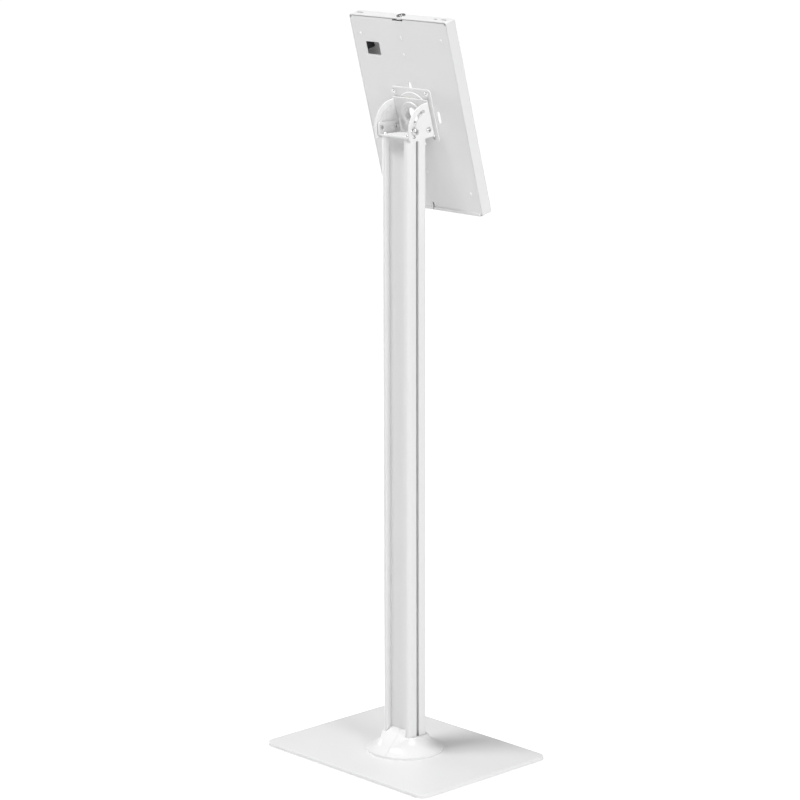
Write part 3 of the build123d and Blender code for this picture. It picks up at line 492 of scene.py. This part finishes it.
def turned(bm, profile, place=standing, steps=48):
    """A turned solid: an outline of (radius, height, rounding) corners spun round Z and closed."""
    known = set(bm.verts)
    # a profile that starts on the axis also ends there, and needs no edge along it
    line = cornered(bm, profile, closed=profile[0][0] > 0, segments=5)
    bmesh.ops.rotate(bm, cent=(0, 0, 0), matrix=Matrix.Rotation(pi / 2, 3, "X"), verts=verts_of(line))
    spun(bm, verts_of(line) + line, steps)
    return brought(bm, known, place)


def ring(inner, outer, start, end, roundings=(0, 0, 0, 0)):
    """Corners of a ring's section, or of a disc's, for turned()."""
    places = ((inner, start), (outer, start), (outer, end), (inner, end))
    return [(*place, rounding) for place, rounding in zip(places, roundings)]


def bolt(bm, place, shank, shank_length, head, head_height, head_round, socket=0.0, socket_depth=0.0):
    """A bolt or screw seated at height 0, with its head above and a hexagon socket in the head."""
    tip, floor = 0.3, head_height - socket_depth
    profile = [(0, -shank_length, 0), (shank, -shank_length, tip), (shank, 0, 0), (head, 0, 0)]
    profile += [(head, head_height, head_round)]
    profile += [(socket, head_height, 0), (socket, floor, 0)] if socket else []
    fresh = turned(bm, profile + [(0, floor, 0)])
    for vert in fresh:
        if socket and abs(vert.co.xy.length - socket) < NEAR and vert.co.z > 0:
            # a hexagon's flat sides lie nearer to its middle than its corners
            turn = degrees(vert.co.xy.angle_signed(Vector((1, 0)))) % 60 - 30
            vert.co.xy *= cos(pi / 6) / cos(radians(turn))
    bmesh.ops.transform(bm, matrix=place, verts=fresh)


def outward(side, x, z):
    """A place in the ears' frame that faces out of one side of the stand."""
    return Matrix.Translation((x, 0, side * z)) @ Matrix.Rotation(0 if side > 0 else pi, 4, "Y")


def backward(x, y, z=0.0):
    """A place in the case's frame that faces away from the screen."""
    return Matrix.Translation((x, y, z)) @ Matrix.Rotation(pi, 4, "X")


def column_foot():
    """Height of the floor plate's upper face."""
    return mm.foot_height + mm.base_thickness


def column_top():
    """Height of the column's head."""
    return column_foot() + mm.column_height


def ports():
    """Places of the column's four screw ports, in the middle of the lips beside its channels."""
    lip, inset = (mm.column_width - mm.channel_width) / 2, 5.6
    return four((mm.column_width - lip) / 2, mm.column_depth / 2 - inset)


def plate_screws():
    """Places of the turning plate's four screws."""
    return four(mm.screw_square / 2, mm.screw_square / 2)


def holder_screws():
    """Places of the corner holders' four screws."""
    inset, height = 19, 130
    return four(mm.case_width / 2 - inset, height)


# Screws: radius and length of the shank; heads: radius, height, rounding, socket's radius and depth
COLUMN_SCREW = (2.5, 22, 4, 2.6, 1.3, 1.6, 1.4)
PLATE_SCREW = (2, 6.5, 4, 1.5, 0.7, 1.3, 0.9)
HOLDER_SCREW = (1.5, 12.3, 2.9, 1.3, 0.65)
PIVOT_HEAD = (4.9, 2.8, 1.8, 2.54, 1.6)
LOCK_HEAD = (5, 6, 0.6, 2.54, 2.6)


class StandOperator(bpy.types.Operator):
    """What every operator shares."""

    bl_options = {"REGISTER", "UNDO"}


class STAND_OT_floor_plate(StandOperator):
    """Floor plate: rounded corners, a rounded upper edge and countersinks underneath"""

    bl_idname = "stand.floor_plate"
    bl_label = "Floor plate"

    def execute(self, context):
        bm = bmesh.new()
        countersink, depth = 5.2, 2.5
        outline = cornered(bm, rectangle(mm.base_width, mm.base_depth, mm.base_corner), segments=12)
        holes = [rounded(bm, countersink, place, 32) for place in ports()]
        filled(bm, outline, *holes)
        for hole, place in zip(holes, ports()):
            filled(bm, drawn(bm, hole, depth, COLUMN_SCREW_HOLE / countersink, place))
        filled(bm, drawn(bm, outline, mm.base_thickness))
        eased(bm, folds_of(bm, mm.base_thickness), mm.base_edge, 5)
        settle(bm, raised(mm.foot_height), "floor_plate", "stand", ["base_plate"], 0.3)
        return {"FINISHED"}


class STAND_OT_rubber_feet(StandOperator):
    """Four round rubber feet, with eased rims"""

    bl_idname = "stand.rubber_feet"
    bl_label = "Rubber feet"

    def execute(self, context):
        bm = bmesh.new()
        foot = ring(0, mm.foot_radius, 0, mm.foot_height, (0, 0.6, 0, 0))
        for x, y in four(mm.base_width / 2 - mm.foot_inset, mm.base_depth / 2 - mm.foot_inset):
            turned(bm, foot, Matrix.Translation((x, y, 0)))
        settle(bm, standing, "rubber_feet", "stand", ["base_feet"])
        return {"FINISHED"}


class STAND_OT_column(StandOperator):
    """Column: one extruded section with a channel front and back, undercut side slots, a core and ports"""

    bl_idname = "stand.column"
    bl_label = "Column"

    def execute(self, context):
        bm = bmesh.new()
        w, d, mouth = mm.column_width / 2, mm.column_depth / 2, mm.slot_mouth / 2
        channel, floor = mm.channel_width / 2, d - mm.channel_depth
        # a side slot is wider behind its mouth, from under its lips to its floor
        under, deep, half = w - 2.2, w - 7, 5
        wall, port = 2.2, 2.5
        edge = [(w, mouth, 0.3), (w, d, mm.column_corner), (channel, d, 0.8), (channel, floor, 0.4)]
        slot = [(under, -mouth, 0), (under, -half, 0), (deep, -half, 0)]
        slot += [(x, -y, r) for x, y, r in reversed(slot)]
        outline = edge + [(-x, y, r) for x, y, r in reversed(edge)]
        outline += [(-x, -y, r) for x, y, r in slot]
        outline += [(-x, -y, r) for x, y, r in edge] + [(x, -y, r) for x, y, r in reversed(edge)]
        core = rectangle(2 * (deep - wall), 2 * (floor - wall), 2)
        holes = [cornered(bm, core)] + [rounded(bm, port, place, 24) for place in ports()]
        section = filled(bm, cornered(bm, outline + slot), *holes)
        thickened(bm, section, column_foot(), column_top())
        settle(bm, standing, "column_extrusion", "stand", ["column"])
        return {"FINISHED"}


class STAND_OT_foot_trim(StandOperator):
    """Trumpet trim in two halves, each leaf-shaped facet running on into the channel as a tongue"""

    bl_idname = "stand.foot_trim"
    bl_label = "Foot trim"

    def execute(self, context):
        bm = bmesh.new()
        height, wall, play = mm.trim_height, 2.4, 0.3
        profile = self.flare(bm, mm.trim_radius, height)
        spun(bm, profile + joined(bm, profile), 96)
        rim = [edge for edge in bm.edges if len(edge.link_faces) == 1 and lies(edge, 2, height)]
        width, depth = mm.column_width + 2 * play, mm.column_depth + 2 * play
        hole = cornered(bm, rectangle(width, depth, mm.column_corner))
        lift(bm, hole, height)
        filled(bm, rim, hole)
        # each facet slopes from the full height near the column down to a lower one far out
        near, far, low, margin = 22.6, 49.6, 10.0, 1.4
        slope = (height - low) / (far - near)
        for side in (1, -1):
            above = [f for f in bm.faces if f.calc_center_median().y * side < far + margin]
            around = above + once(e for f in above for e in f.edges) + verts_of(above)
            cut(bm, around, (0, side * near, height), (0, side * slope, 1))
        walled(bm, wall, (0, 0, 1))
        inner = mm.column_depth / 2 - mm.channel_depth + play
        rise, drop = (near - inner) * slope, wall * (1 + slope ** 2) ** 0.5
        tongue = [(inner, height + rise), (near, height)]
        tongue += [(y, z - drop) for y, z in reversed(tongue)]
        reach = mm.channel_width / 2 - play
        for side in (1, -1):
            known = set(bm.verts)
            thickened(bm, filled(bm, cornered(bm, [(side * y, z, 0) for y, z in tongue])), -reach, reach)
            brought(bm, known, side_on)
        # the halves part at an upright plane, turned a little about the column
        angle, gap = radians(13.4), 0.15
        seam = Vector((cos(angle), sin(angle), 0))
        for side, name in ((1, "right"), (-1, "left")):
            half = bm.copy()
            cut(half, half.verts[:] + half.edges[:] + half.faces[:], side * gap * seam, -side * seam)
            settle(half, raised(column_foot()), "trim_half_" + name, "stand", ["foot_trim_" + name])
        bm.free()
        return {"FINISHED"}

    def flare(self, bm, radius, height):
        """Vertices of the profile: a small lip, an arc about a ring outside the trim and an upright foot."""
        out, up, arc = 68.2, 33.5, 30.0
        lip, ease, ease_turn, steps = 0.9, 0.25, 1.6, 18
        start = 180 + degrees(asin((up - height) / arc))
        end = 180 + degrees(acos((out - radius) / arc))
        top = out + arc * cos(radians(start))
        start += ease_turn
        turns = [radians(start + (end - start) * k / steps) for k in range(steps + 1)]
        line = [(top - lip, height), (top - ease, height - ease)]
        line += [(out + arc * cos(turn), up + arc * sin(turn)) for turn in turns]
        return [bm.verts.new((x, 0, z)) for x, z in line + [(radius, 0)]]


class STAND_OT_fixed_yoke(StandOperator):
    """Fixed yoke: one folded sheet, a floor on the column and two ears"""

    bl_idname = "stand.fixed_yoke"
    bl_label = "Fixed yoke"

    def execute(self, context):
        bm = bmesh.new()
        out, half_depth = mm.ear_outside, mm.column_depth / 2 + 1.6
        front, rear = -pivot.y - half_depth, -pivot.y + half_depth
        low, top, bend = column_top() - pivot.z, 9, 3
        for side in (1, -1):
            corners = [(front, low, 0), (rear, low, 0), (rear, top, 3), (front, top, 11)]
            nuts = [rounded(bm, BUSH, (back, 0), 32) for back in (0, mm.lock_orbit)]
            lift(bm, filled(bm, cornered(bm, corners, segments=10), *nuts), side * out)
        bmesh.ops.transform(bm, matrix=side_on, verts=bm.verts)
        sheet = cornered(bm, rectangle(2 * out, 2 * half_depth, 0, (0, -pivot.y)))
        screws = [rounded(bm, COLUMN_SCREW_HOLE, (x, y - pivot.y), 24) for x, y in ports()]
        lift(bm, filled(bm, sheet, *screws), low)
        bmesh.ops.remove_doubles(bm, verts=bm.verts, dist=WELD)
        eased(bm, folds_of(bm), bend)
        walled(bm, mm.yoke_sheet, (0, 0, -1))
        settle(bm, Matrix.Translation(pivot), "fixed_yoke_sheet", "stand", ["base_yoke"], mm.edge_break)
        return {"FINISHED"}


class STAND_OT_tilt_yoke(StandOperator):
    """Tilting yoke: a back plate with a tab round the hub and two quadrants with arc slots"""

    bl_idname = "stand.tilt_yoke"
    bl_label = "Tilting yoke"

    def execute(self, context):
        bm = bmesh.new()
        sheet, inside, overlap = mm.yoke_sheet, mm.ear_outside + EAR_GAP, 0.15
        outer = inside + sheet
        # the back plate's faces and its top edge, from the pivot
        front, rear, top = -11.6, -9.1, 46.5
        for side in (1, -1):
            outline = self.rim(bm, front, rear, top)
            faces = filled(bm, outline, self.arc_slot(bm), rounded(bm, BOLT_HOLE, segments=24))
            thickened(bm, faces, side * inside, side * outer)
            eased(bm, [fold for fold in folds_of(bm, side * outer) if lies(fold, 0, front)], sheet - 0.2)
        known = set(bm.verts)
        # the back plate's ends lie a little inside the quadrants
        hole = rounded(bm, mm.hub_tube + HUB_PLAY, (0, HUB_UP), 64)
        thickened(bm, filled(bm, self.tab(bm, inside + overlap, top - 0.05), hole), front, rear)
        brought(bm, known, on_edge)
        settle(bm, quadrant_place, "tilt_yoke_sheet", "tilt_yoke", ["tilt_yoke"], mm.edge_break)
        return {"FINISHED"}

    def rim(self, bm, front, rear, top):
        """A quadrant's outline: its arc, its front edge and a rounded lower corner."""
        known = set(bm.edges)
        radius, corner = mm.quadrant_radius, 7.0
        # the lower edge runs from the front edge's foot towards a point on the arc
        foot, low_end = Vector((front, -14)), -7.6
        end = Vector(((radius ** 2 - low_end ** 2) ** 0.5, low_end))
        along = (end - foot).normalized()
        inner = foot + corner * Vector((-along.y, along.x))
        # the corner's arc touches both the lower edge and the rim
        shift = inner.dot(along)
        reach = (shift ** 2 - inner.length_squared + (radius - corner) ** 2) ** 0.5 - shift
        centre = inner + reach * along
        first = foot + reach * along
        meets = degrees(atan2(centre.y, centre.x))
        starts = degrees(atan2(first.y - centre.y, first.x - centre.x))
        vert = bm.verts.new((*first, 0))
        last = swung(bm, centre, vert, meets - starts, 8)
        last = swung(bm, (0, 0), last, degrees(acos(rear / radius)) - meets, 40)
        return closed_through(bm, known, last, [(rear, top), (front, top), foot], vert)

    def arc_slot(self, bm):
        """The slot that the lock bolt runs in: two arcs about the pivot and two round ends."""
        known = set(bm.edges)
        orbit, half = mm.lock_orbit, mm.arc_slot_width / 2
        start, sweep = -1.0, 87.0
        turns = [radians(turn) for turn in (start, start + sweep)]
        ends = [(orbit * cos(turn), orbit * sin(turn)) for turn in turns]
        vert = bm.verts.new(((orbit + half) * cos(turns[0]), (orbit + half) * sin(turns[0]), 0))
        vert = swung(bm, (0, 0), vert, sweep, 30)
        vert = swung(bm, ends[1], vert, 180, 12)
        vert = swung(bm, (0, 0), vert, -sweep, 30)
        swung(bm, ends[0], vert, 180, 12)
        bmesh.ops.remove_doubles(bm, verts=verts_of(edges_since(bm, known)), dist=WELD)
        return edges_since(bm, known)

    def tab(self, bm, inside, top):
        """The back plate's outline, across and up from the pivot: the tab is round the hub's centre."""
        known = set(bm.edges)
        radius, fillet, low = 26.0, 4.0, 10.0
        up = HUB_UP - low + fillet
        across = ((radius + fillet) ** 2 - up ** 2) ** 0.5
        turn = degrees(acos(up / (radius + fillet)))
        first = bm.verts.new((across, low, 0))
        vert = swung(bm, (across, low - fillet), first, turn, 6)
        vert = swung(bm, (0, HUB_UP), vert, -2 * turn, 30)
        vert = swung(bm, (-across, low - fillet), vert, turn, 6)
        corners = [(-inside, low), (-inside, top), (inside, top), (inside, low)]
        return closed_through(bm, known, vert, corners, first)


class STAND_OT_yoke_fasteners(StandOperator):
    """Bolts, screws, washers and pressed bushes of the two yokes"""

    bl_idname = "stand.yoke_fasteners"
    bl_label = "Yoke fasteners"

    def execute(self, context):
        sheet, out, orbit = mm.yoke_sheet, mm.ear_outside, mm.lock_orbit
        collar, collar_height = 4.6, 1.2
        bush = [(BOLT_HOLE, -collar_height, 0), (collar, -collar_height, 0.3), (collar, 0, 0), (BUSH, 0, 0)]
        bush += [(BUSH, sheet, 0.2), (BOLT_HOLE, sheet, 0.3)]
        # seat of the pivot bolts, clear of the quadrants; the lock bolts sit on washers
        seat = out + EAR_GAP + sheet + 0.1
        shank, reach = 3, seat - out + 1.5
        washer_sheet = 1.2
        washer = ring(BOLT_HOLE, 6.4, 0, washer_sheet, (0.2, 0.2, 0.3, 0.2))
        slip = ring(BOLT_HOLE, 8, 0, 0.5)
        screws, bushes, slips, pivots, locks, washers = (bmesh.new() for part in range(6))
        for x, y in ports():
            bolt(screws, Matrix.Translation((x, y, column_top() + sheet)), *COLUMN_SCREW)
        for side in (1, -1):
            for back in (0, orbit):
                turned(bushes, bush, outward(side, back, out - sheet))
            turned(slips, slip, outward(side, 0, out))
            bolt(pivots, outward(side, 0, seat), shank, reach, *PIVOT_HEAD)
            lock_seat = outward(side, orbit, seat + washer_sheet)
            bolt(locks, lock_seat, shank, reach + washer_sheet, *LOCK_HEAD)
            turned(washers, washer, outward(side, orbit, seat))
        settle(screws, standing, "yoke_floor_screws", "stand", ["yoke_screws"])
        settle(bushes, ear_place, "ear_bushes", "stand", ["ear_nuts"])
        settle(slips, ear_place, "slip_washers", "stand", ["tilt_washers"])
        settle(pivots, ear_place, "pivot_button_bolts", "stand", ["pivot_bolts"])
        settle(locks, ear_place, "lock_cap_bolts", "stand", ["lock_bolts"])
        settle(washers, ear_place, "lock_bolt_washers", "stand", ["lock_washers"])
        return {"FINISHED"}


class STAND_OT_hub(StandOperator):
    """Hollow hub: its tube with a flange, its rear ring and two friction washers"""

    bl_idname = "stand.hub"
    bl_label = "Hub"

    def execute(self, context):
        bore, tube, rise = mm.hub_bore, mm.hub_tube, mm.disc_rise
        flange, washer_sheet = 35, 0.6
        # heights from the case's back, towards the screen
        end, ring_front = -10.1, -7.1
        bm = bmesh.new()
        profile = [(bore, 0, 0), (flange, 0, 0), (flange, -rise, 0.3), (tube, -rise, 0)]
        turned(bm, profile + [(tube, end, 0.3), (bore, end, 0.6)], steps=72)
        settle(bm, case_place, "hub_tube_turned", "case", ["hub_tube"])
        bm = bmesh.new()
        turned(bm, ring(tube, mm.hub_ring, ring_front, end, (0, 0.4, 0.8, 0.2)), steps=72)
        settle(bm, case_place, "hub_ring_turned", "case", ["hub_ring"])
        for name, outer, high in (("front", 29.0, -3.25), ("rear", 22.0, -6.45)):
            bm = bmesh.new()
            turned(bm, ring(tube + HUB_PLAY, outer, high - washer_sheet, high, (0, 0.15, 0.15, 0)))
            settle(bm, case_place, "friction_washer_" + name, "tilt_yoke", ["hub_washer_" + name])
        return {"FINISHED"}


class STAND_OT_turning_plate(StandOperator):
    """Turning plate: a pressed sheet with a raised disc, and its four screws"""

    bl_idname = "stand.turning_plate"
    bl_label = "Turning plate"

    def execute(self, context):
        bm = bmesh.new()
        disc, rise, sheet = mm.disc_radius, mm.disc_rise, mm.plate_sheet
        corner, slant = 6, 0.7
        outline = cornered(bm, rectangle(mm.plate_width, mm.plate_height, corner), segments=10)
        step = rounded(bm, disc, segments=96)
        hub = rounded(bm, mm.hub_tube + HUB_PLAY, segments=96)
        screws = [rounded(bm, PLATE_SCREW_HOLE, place, 24) for place in plate_screws()]
        lift(bm, hub, -rise)
        filled(bm, outline, step, *screws)
        filled(bm, drawn(bm, step, -rise, (disc - slant) / disc), hub)
        walled(bm, sheet, (0, 0, -1))
        settle(bm, case_place @ raised(-sheet), "turning_plate_sheet", "case", ["turning_plate"], 0.3)
        bm = bmesh.new()
        for x, y in plate_screws():
            bolt(bm, backward(x, y, -sheet), *PLATE_SCREW)
        settle(bm, case_place, "turning_plate_screws", "case", ["plate_screws"])
        return {"FINISHED"}


class STAND_OT_case_back(StandOperator):
    """Case back: a flat sheet with a camera window, tie slots, a cable hole and notches"""

    bl_idname = "stand.case_back"
    bl_label = "Case back"

    def execute(self, context):
        bm = bmesh.new()
        sheet = mm.case_sheet
        half = mm.case_width / 2 - sheet - 0.5
        top, low = mm.case_above - sheet - 1, -mm.case_below + sheet + 1
        # notches in the lower edge, at the upper corners and round the lock
        side, step, lock_side = half - 3, top - 3, 12.25
        right = [(NOTCH, low + 10.3, 0), (NOTCH, low, 0), (half, low, 2.5), (half, step, 0)]
        right += [(side, step, 0), (side, top, 0), (lock_side, top, 0), (lock_side, top - 2.5, 0)]
        outline = cornered(bm, right + [(-x, y, r) for x, y, r in reversed(right)])
        holes = [
            rounded(bm, mm.hub_bore + 1, segments=64),
            # camera window
            cornered(bm, rectangle(32, 22, 2, (mm.case_width / 2 - 43, 106.5))),
            # tie slots above the hub and on both sides of it
            slotted(bm, 12, 6.5, (0, 47.6), upright=True),
            slotted(bm, 20, 6.5, (54, -2), upright=True),
            slotted(bm, 20, 6.5, (-54, -2), upright=True),
            # cable hole
            slotted(bm, 22, 5, (0, -51)),
        ]
        holes += [rounded(bm, PLATE_SCREW_HOLE, place, 16) for place in plate_screws()]
        holes += [rounded(bm, RIVET_HOLE, (0, y), 16) for y in RIVETS]
        holes += [rounded(bm, HOLDER_SCREW_HOLE, place, 16) for place in holder_screws()]
        thickened(bm, filled(bm, outline, *holes), 0, sheet)
        settle(bm, case_place, "case_back_sheet", "case", ["tray_plate"], 0.25)
        return {"FINISHED"}


class STAND_OT_front_cover(StandOperator):
    """Front cover: a deep folded lid with a screen opening, slots in its top wall and a hooked lip"""

    bl_idname = "stand.front_cover"
    bl_label = "Front cover"

    def execute(self, context):
        bm = bmesh.new()
        width, sheet, depth = mm.case_width, mm.case_sheet, mm.case_depth
        above, below = mm.case_above, mm.case_below
        corner, bend, screen_corner, lip_inset = 4, 2.5, 3, 6
        middle = (above - below) / 2
        outline = cornered(bm, rectangle(width, above + below, corner, (0, middle)), segments=8)
        screen = cornered(bm, rectangle(mm.screen_width, mm.screen_height, screen_corner))
        front = drawn(bm, outline, depth)
        lift(bm, screen, depth)
        filled(bm, front, screen)
        self.open_top_wall(bm, above, width)
        eased(bm, folds_of(bm, depth), bend)
        walled(bm, sheet, (0, 0, 1))
        self.add_lip(bm, width / 2 - lip_inset, -below, sheet)
        settle(bm, case_place, "front_cover_folded", "front_cover", ["front_cover"], 0.25)
        return {"FINISHED"}

    def open_top_wall(self, bm, above, width):
        """Fill the top wall again round the lock's hole and the three button slots."""
        wall = max((face for face in bm.faces if lies(face, 1, above)), key=lambda face: face.calc_area())
        rim = wall.edges[:]
        bmesh.ops.delete(bm, geom=[wall], context="FACES_ONLY")
        lock, slot_width = 6.05, 3
        edges = rounded(bm, lock, (0, LOCK_DEEP), 48)
        for overall, x in ((15, width / 2 - 16), (7.5, -width / 2 + 33.5), (12, -width / 2 + 14.5)):
            edges += slotted(bm, overall, slot_width, (x, LOCK_DEEP))
        upright = Matrix(((1, 0, 0, 0), (0, 0, 0, above), (0, 1, 0, 0), (0, 0, 0, 1)))
        bmesh.ops.transform(bm, matrix=upright, verts=verts_of(edges))
        filled(bm, rim, edges)

    def add_lip(self, bm, half, low, sheet):
        """The lip that hooks behind the case back: two lengths of an L, joined across the notch."""
        back, tip, inset = -1.6, low + 5, 0.02
        hook = [(0, low, 0), (back, low, 0), (back, tip, 0), (-0.1, tip, 0)]
        hook += [(-0.1, low + sheet, 0), (0, low + sheet, 0)]
        # the length across the notch ends inside the other two
        bridge = rectangle(-back - 2 * inset, sheet - 2 * inset, 0, (back / 2, low + sheet / 2))
        across = NOTCH + 0.5
        for start, stop, section in ((NOTCH, half, hook), (-half, -NOTCH, hook), (-across, across, bridge)):
            known = set(bm.verts)
            thickened(bm, filled(bm, cornered(bm, section)), start, stop)
            brought(bm, known, on_edge)


class STAND_OT_case_fasteners(StandOperator):
    """Rivets on the case's centre line and the four screws of the corner holders"""

    bl_idname = "stand.case_fasteners"
    bl_label = "Case fasteners"

    def execute(self, context):
        bm = bmesh.new()
        shank, head, head_height, far = 1.6, 2.9, 1, 3
        rivet = [(0, -head_height, 0), (head, -head_height, 0.5), (head, 0, 0), (shank, 0, 0)]
        rivet += [(shank, far, 0), (head, far, 0), (head, far + head_height, 0.3), (0, far + head_height, 0)]
        for y in RIVETS:
            turned(bm, rivet, Matrix.Translation((0, y, 0)), 32)
        settle(bm, case_place, "case_rivets", "case", ["tray_rivets"])
        bm = bmesh.new()
        for x, y in holder_screws():
            bolt(bm, backward(x, y), *HOLDER_SCREW)
        settle(bm, case_place, "corner_screws", "case", ["holder_screws"])
        return {"FINISHED"}


class STAND_OT_cam_lock(StandOperator):
    """Cam lock in the top wall: its body with a rounded bezel, and the plug with a key slot"""

    bl_idname = "stand.cam_lock"
    bl_label = "Cam lock"

    def execute(self, context):
        top, low = mm.case_above, mm.case_above - 13.5
        bore, body, bezel, bezel_height = 4.05, 6, 7.5, 2
        upright = case_place @ raised(LOCK_DEEP) @ Matrix.Rotation(-pi / 2, 4, "X")
        bm = bmesh.new()
        sleeve = [(bore, low, 0), (body, low, 0.2), (body, top, 0), (bezel, top, 0)]
        sleeve += [(bezel, top + bezel_height, 0.7), (bore, top + bezel_height, 0.2)]
        turned(bm, sleeve, steps=64)
        settle(bm, upright, "lock_bezel", "front_cover", ["lock_body"])
        bm = bmesh.new()
        plug, plug_length, key_width, key_height, key_depth = 4, 17, 1.2, 5, 3
        rim = rounded(bm, plug)
        key = cornered(bm, rectangle(key_width, key_height))
        filled(bm, rim, key)
        filled(bm, drawn(bm, key, -key_depth))
        filled(bm, drawn(bm, rim, -plug_length))
        settle(bm, upright @ raised(top + bezel_height), "lock_core", "lock", ["lock_plug"], 0.15)
        return {"FINISHED"}


class STAND_OT_inside_parts(StandOperator):
    """Finish the small parts inside the case and under the plate, which keep their CAD shape"""

    bl_idname = "stand.inside_parts"
    bl_label = "Inside parts"

    def execute(self, context):
        for name, node in frame["nodes"].items():
            if not node.hide_render:
                for place in node.material_slots:
                    place.material = finish_of(slot_of[name])
        return {"FINISHED"}


class STAND_OT_stage(StandOperator):
    """Set the floor, the light and the camera"""

    bl_idname = "stand.stage"
    bl_label = "Stage"

    def execute(self, context):
        scene = context.scene
        bm = bmesh.new()
        bmesh.ops.create_grid(bm, x_segments=2, y_segments=2, size=30.0)
        mesh = bpy.data.meshes.new("floor")
        bm.to_mesh(mesh)
        bm.free()
        floor = bpy.data.objects.new("floor", mesh)
        scene.collection.objects.link(floor)
        mesh.materials.append(self.floor_finish())
        self.light(scene)
        self.aim(scene)
        return {"FINISHED"}

    def floor_finish(self):
        """Pale studio floor: seen white, and darker only where the stand's shadow falls."""
        material = bpy.data.materials.new("pale_floor")
        tree = cleared(material)
        shadowed = add_node(tree, "ShaderNodeBsdfDiffuse", {"Color": linear_colour("F4F4F4")})
        glow = add_node(tree, "ShaderNodeEmission", {"Color": (1, 1, 1, 1), "Strength": 0.76})
        lifted = add_node(tree, "ShaderNodeAddShader", links={0: (shadowed, "BSDF"), 1: (glow, "Emission")})
        split_by_camera(tree, "ShaderNodeOutputMaterial", (shadowed, "BSDF"), (lifted, "Shader"))
        return material

    def light(self, scene):
        """Even white surroundings, with a soft lamp high up and weaker ones on both sides."""
        scene.world = bpy.data.worlds.new("studio")
        tree = cleared(scene.world)
        # light on the stand, and the white that the camera sees behind it
        around, backdrop = (
            add_node(tree, "ShaderNodeBackground", {"Color": (1, 1, 1, 1), "Strength": strength})
            for strength in (0.32, 1.0)
        )
        split_by_camera(tree, "ShaderNodeOutputWorld", (around, "Background"), (backdrop, "Background"))
        size, middle = 1.2, Vector((0, 0, 0.6))
        lamps = (
            ("key", (0.8, 1.6, 5.0), 146),
            ("side", (-3.4, 0.5, 1.5), 54),
            ("low", (3.0, 0.5, 0.7), 28),
        )
        for name, place, power in lamps:
            lamp = bpy.data.lights.new(name, "AREA")
            lamp.energy = power
            lamp.size = size
            holder = bpy.data.objects.new(name, lamp)
            scene.collection.objects.link(holder)
            holder.location = place
            holder.rotation_euler = (middle - Vector(place)).to_track_quat("-Z", "Y").to_euler()

    def aim(self, scene):
        """The camera stands behind the case, to one side and above its top, and looks slightly down."""
        camera = bpy.data.cameras.new("camera")
        camera.sensor_width = 36.0
        camera.lens = 137.66
        holder = bpy.data.objects.new("camera", camera)
        scene.collection.objects.link(holder)
        place, pitch, roll = Vector((-3.5599, 3.3962, 1.6913)), radians(12.397), radians(-0.136)
        # level directions ahead and to the right
        ahead_x, ahead_y = 0.7245, -0.6892
        ahead = Vector((ahead_x * cos(pitch), ahead_y * cos(pitch), -sin(pitch))).normalized()
        right = Vector((ahead_y, -ahead_x, 0)).normalized()
        up = right.cross(ahead)
        level = Matrix((right, up, -ahead)).transposed().to_4x4()
        holder.matrix_world = Matrix.Translation(place) @ level @ Matrix.Rotation(roll, 4, "Z")
        scene.camera = holder
        scene.view_settings.view_transform = "Standard"


class STAND_PT_panel(bpy.types.Panel):
    bl_idname = "STAND_PT_panel"
    bl_label = "Floor Stand"
    bl_space_type = "VIEW_3D"
    bl_region_type = "UI"
    bl_category = "Floor Stand"

    def draw(self, context):
        for group in (context.scene.stand_sizes, context.scene.stand_colours):
            for key in group.bl_rna.properties.keys():
                if key not in ("rna_type", "name"):
                    self.layout.prop(group, key)
        for operator in operators:
            self.layout.operator(operator.bl_idname)


# in the order above
operators = tuple(StandOperator.__subclasses__())
classes = (StandSizes, StandColours) + operators + (STAND_PT_panel,)


def register():
    for cls in classes:
        bpy.utils.register_class(cls)
    bpy.types.Scene.stand_sizes = bpy.props.PointerProperty(type=StandSizes)
    bpy.types.Scene.stand_colours = bpy.props.PointerProperty(type=StandColours)


def unregister():
    del bpy.types.Scene.stand_colours
    del bpy.types.Scene.stand_sizes
    for cls in reversed(classes):
        bpy.utils.unregister_class(cls)


def main():
    register()
    for operator in operators:
        group, call = operator.bl_idname.split(".")
        getattr(getattr(bpy.ops, group), call)()


if __name__ == "__main__":
    main()
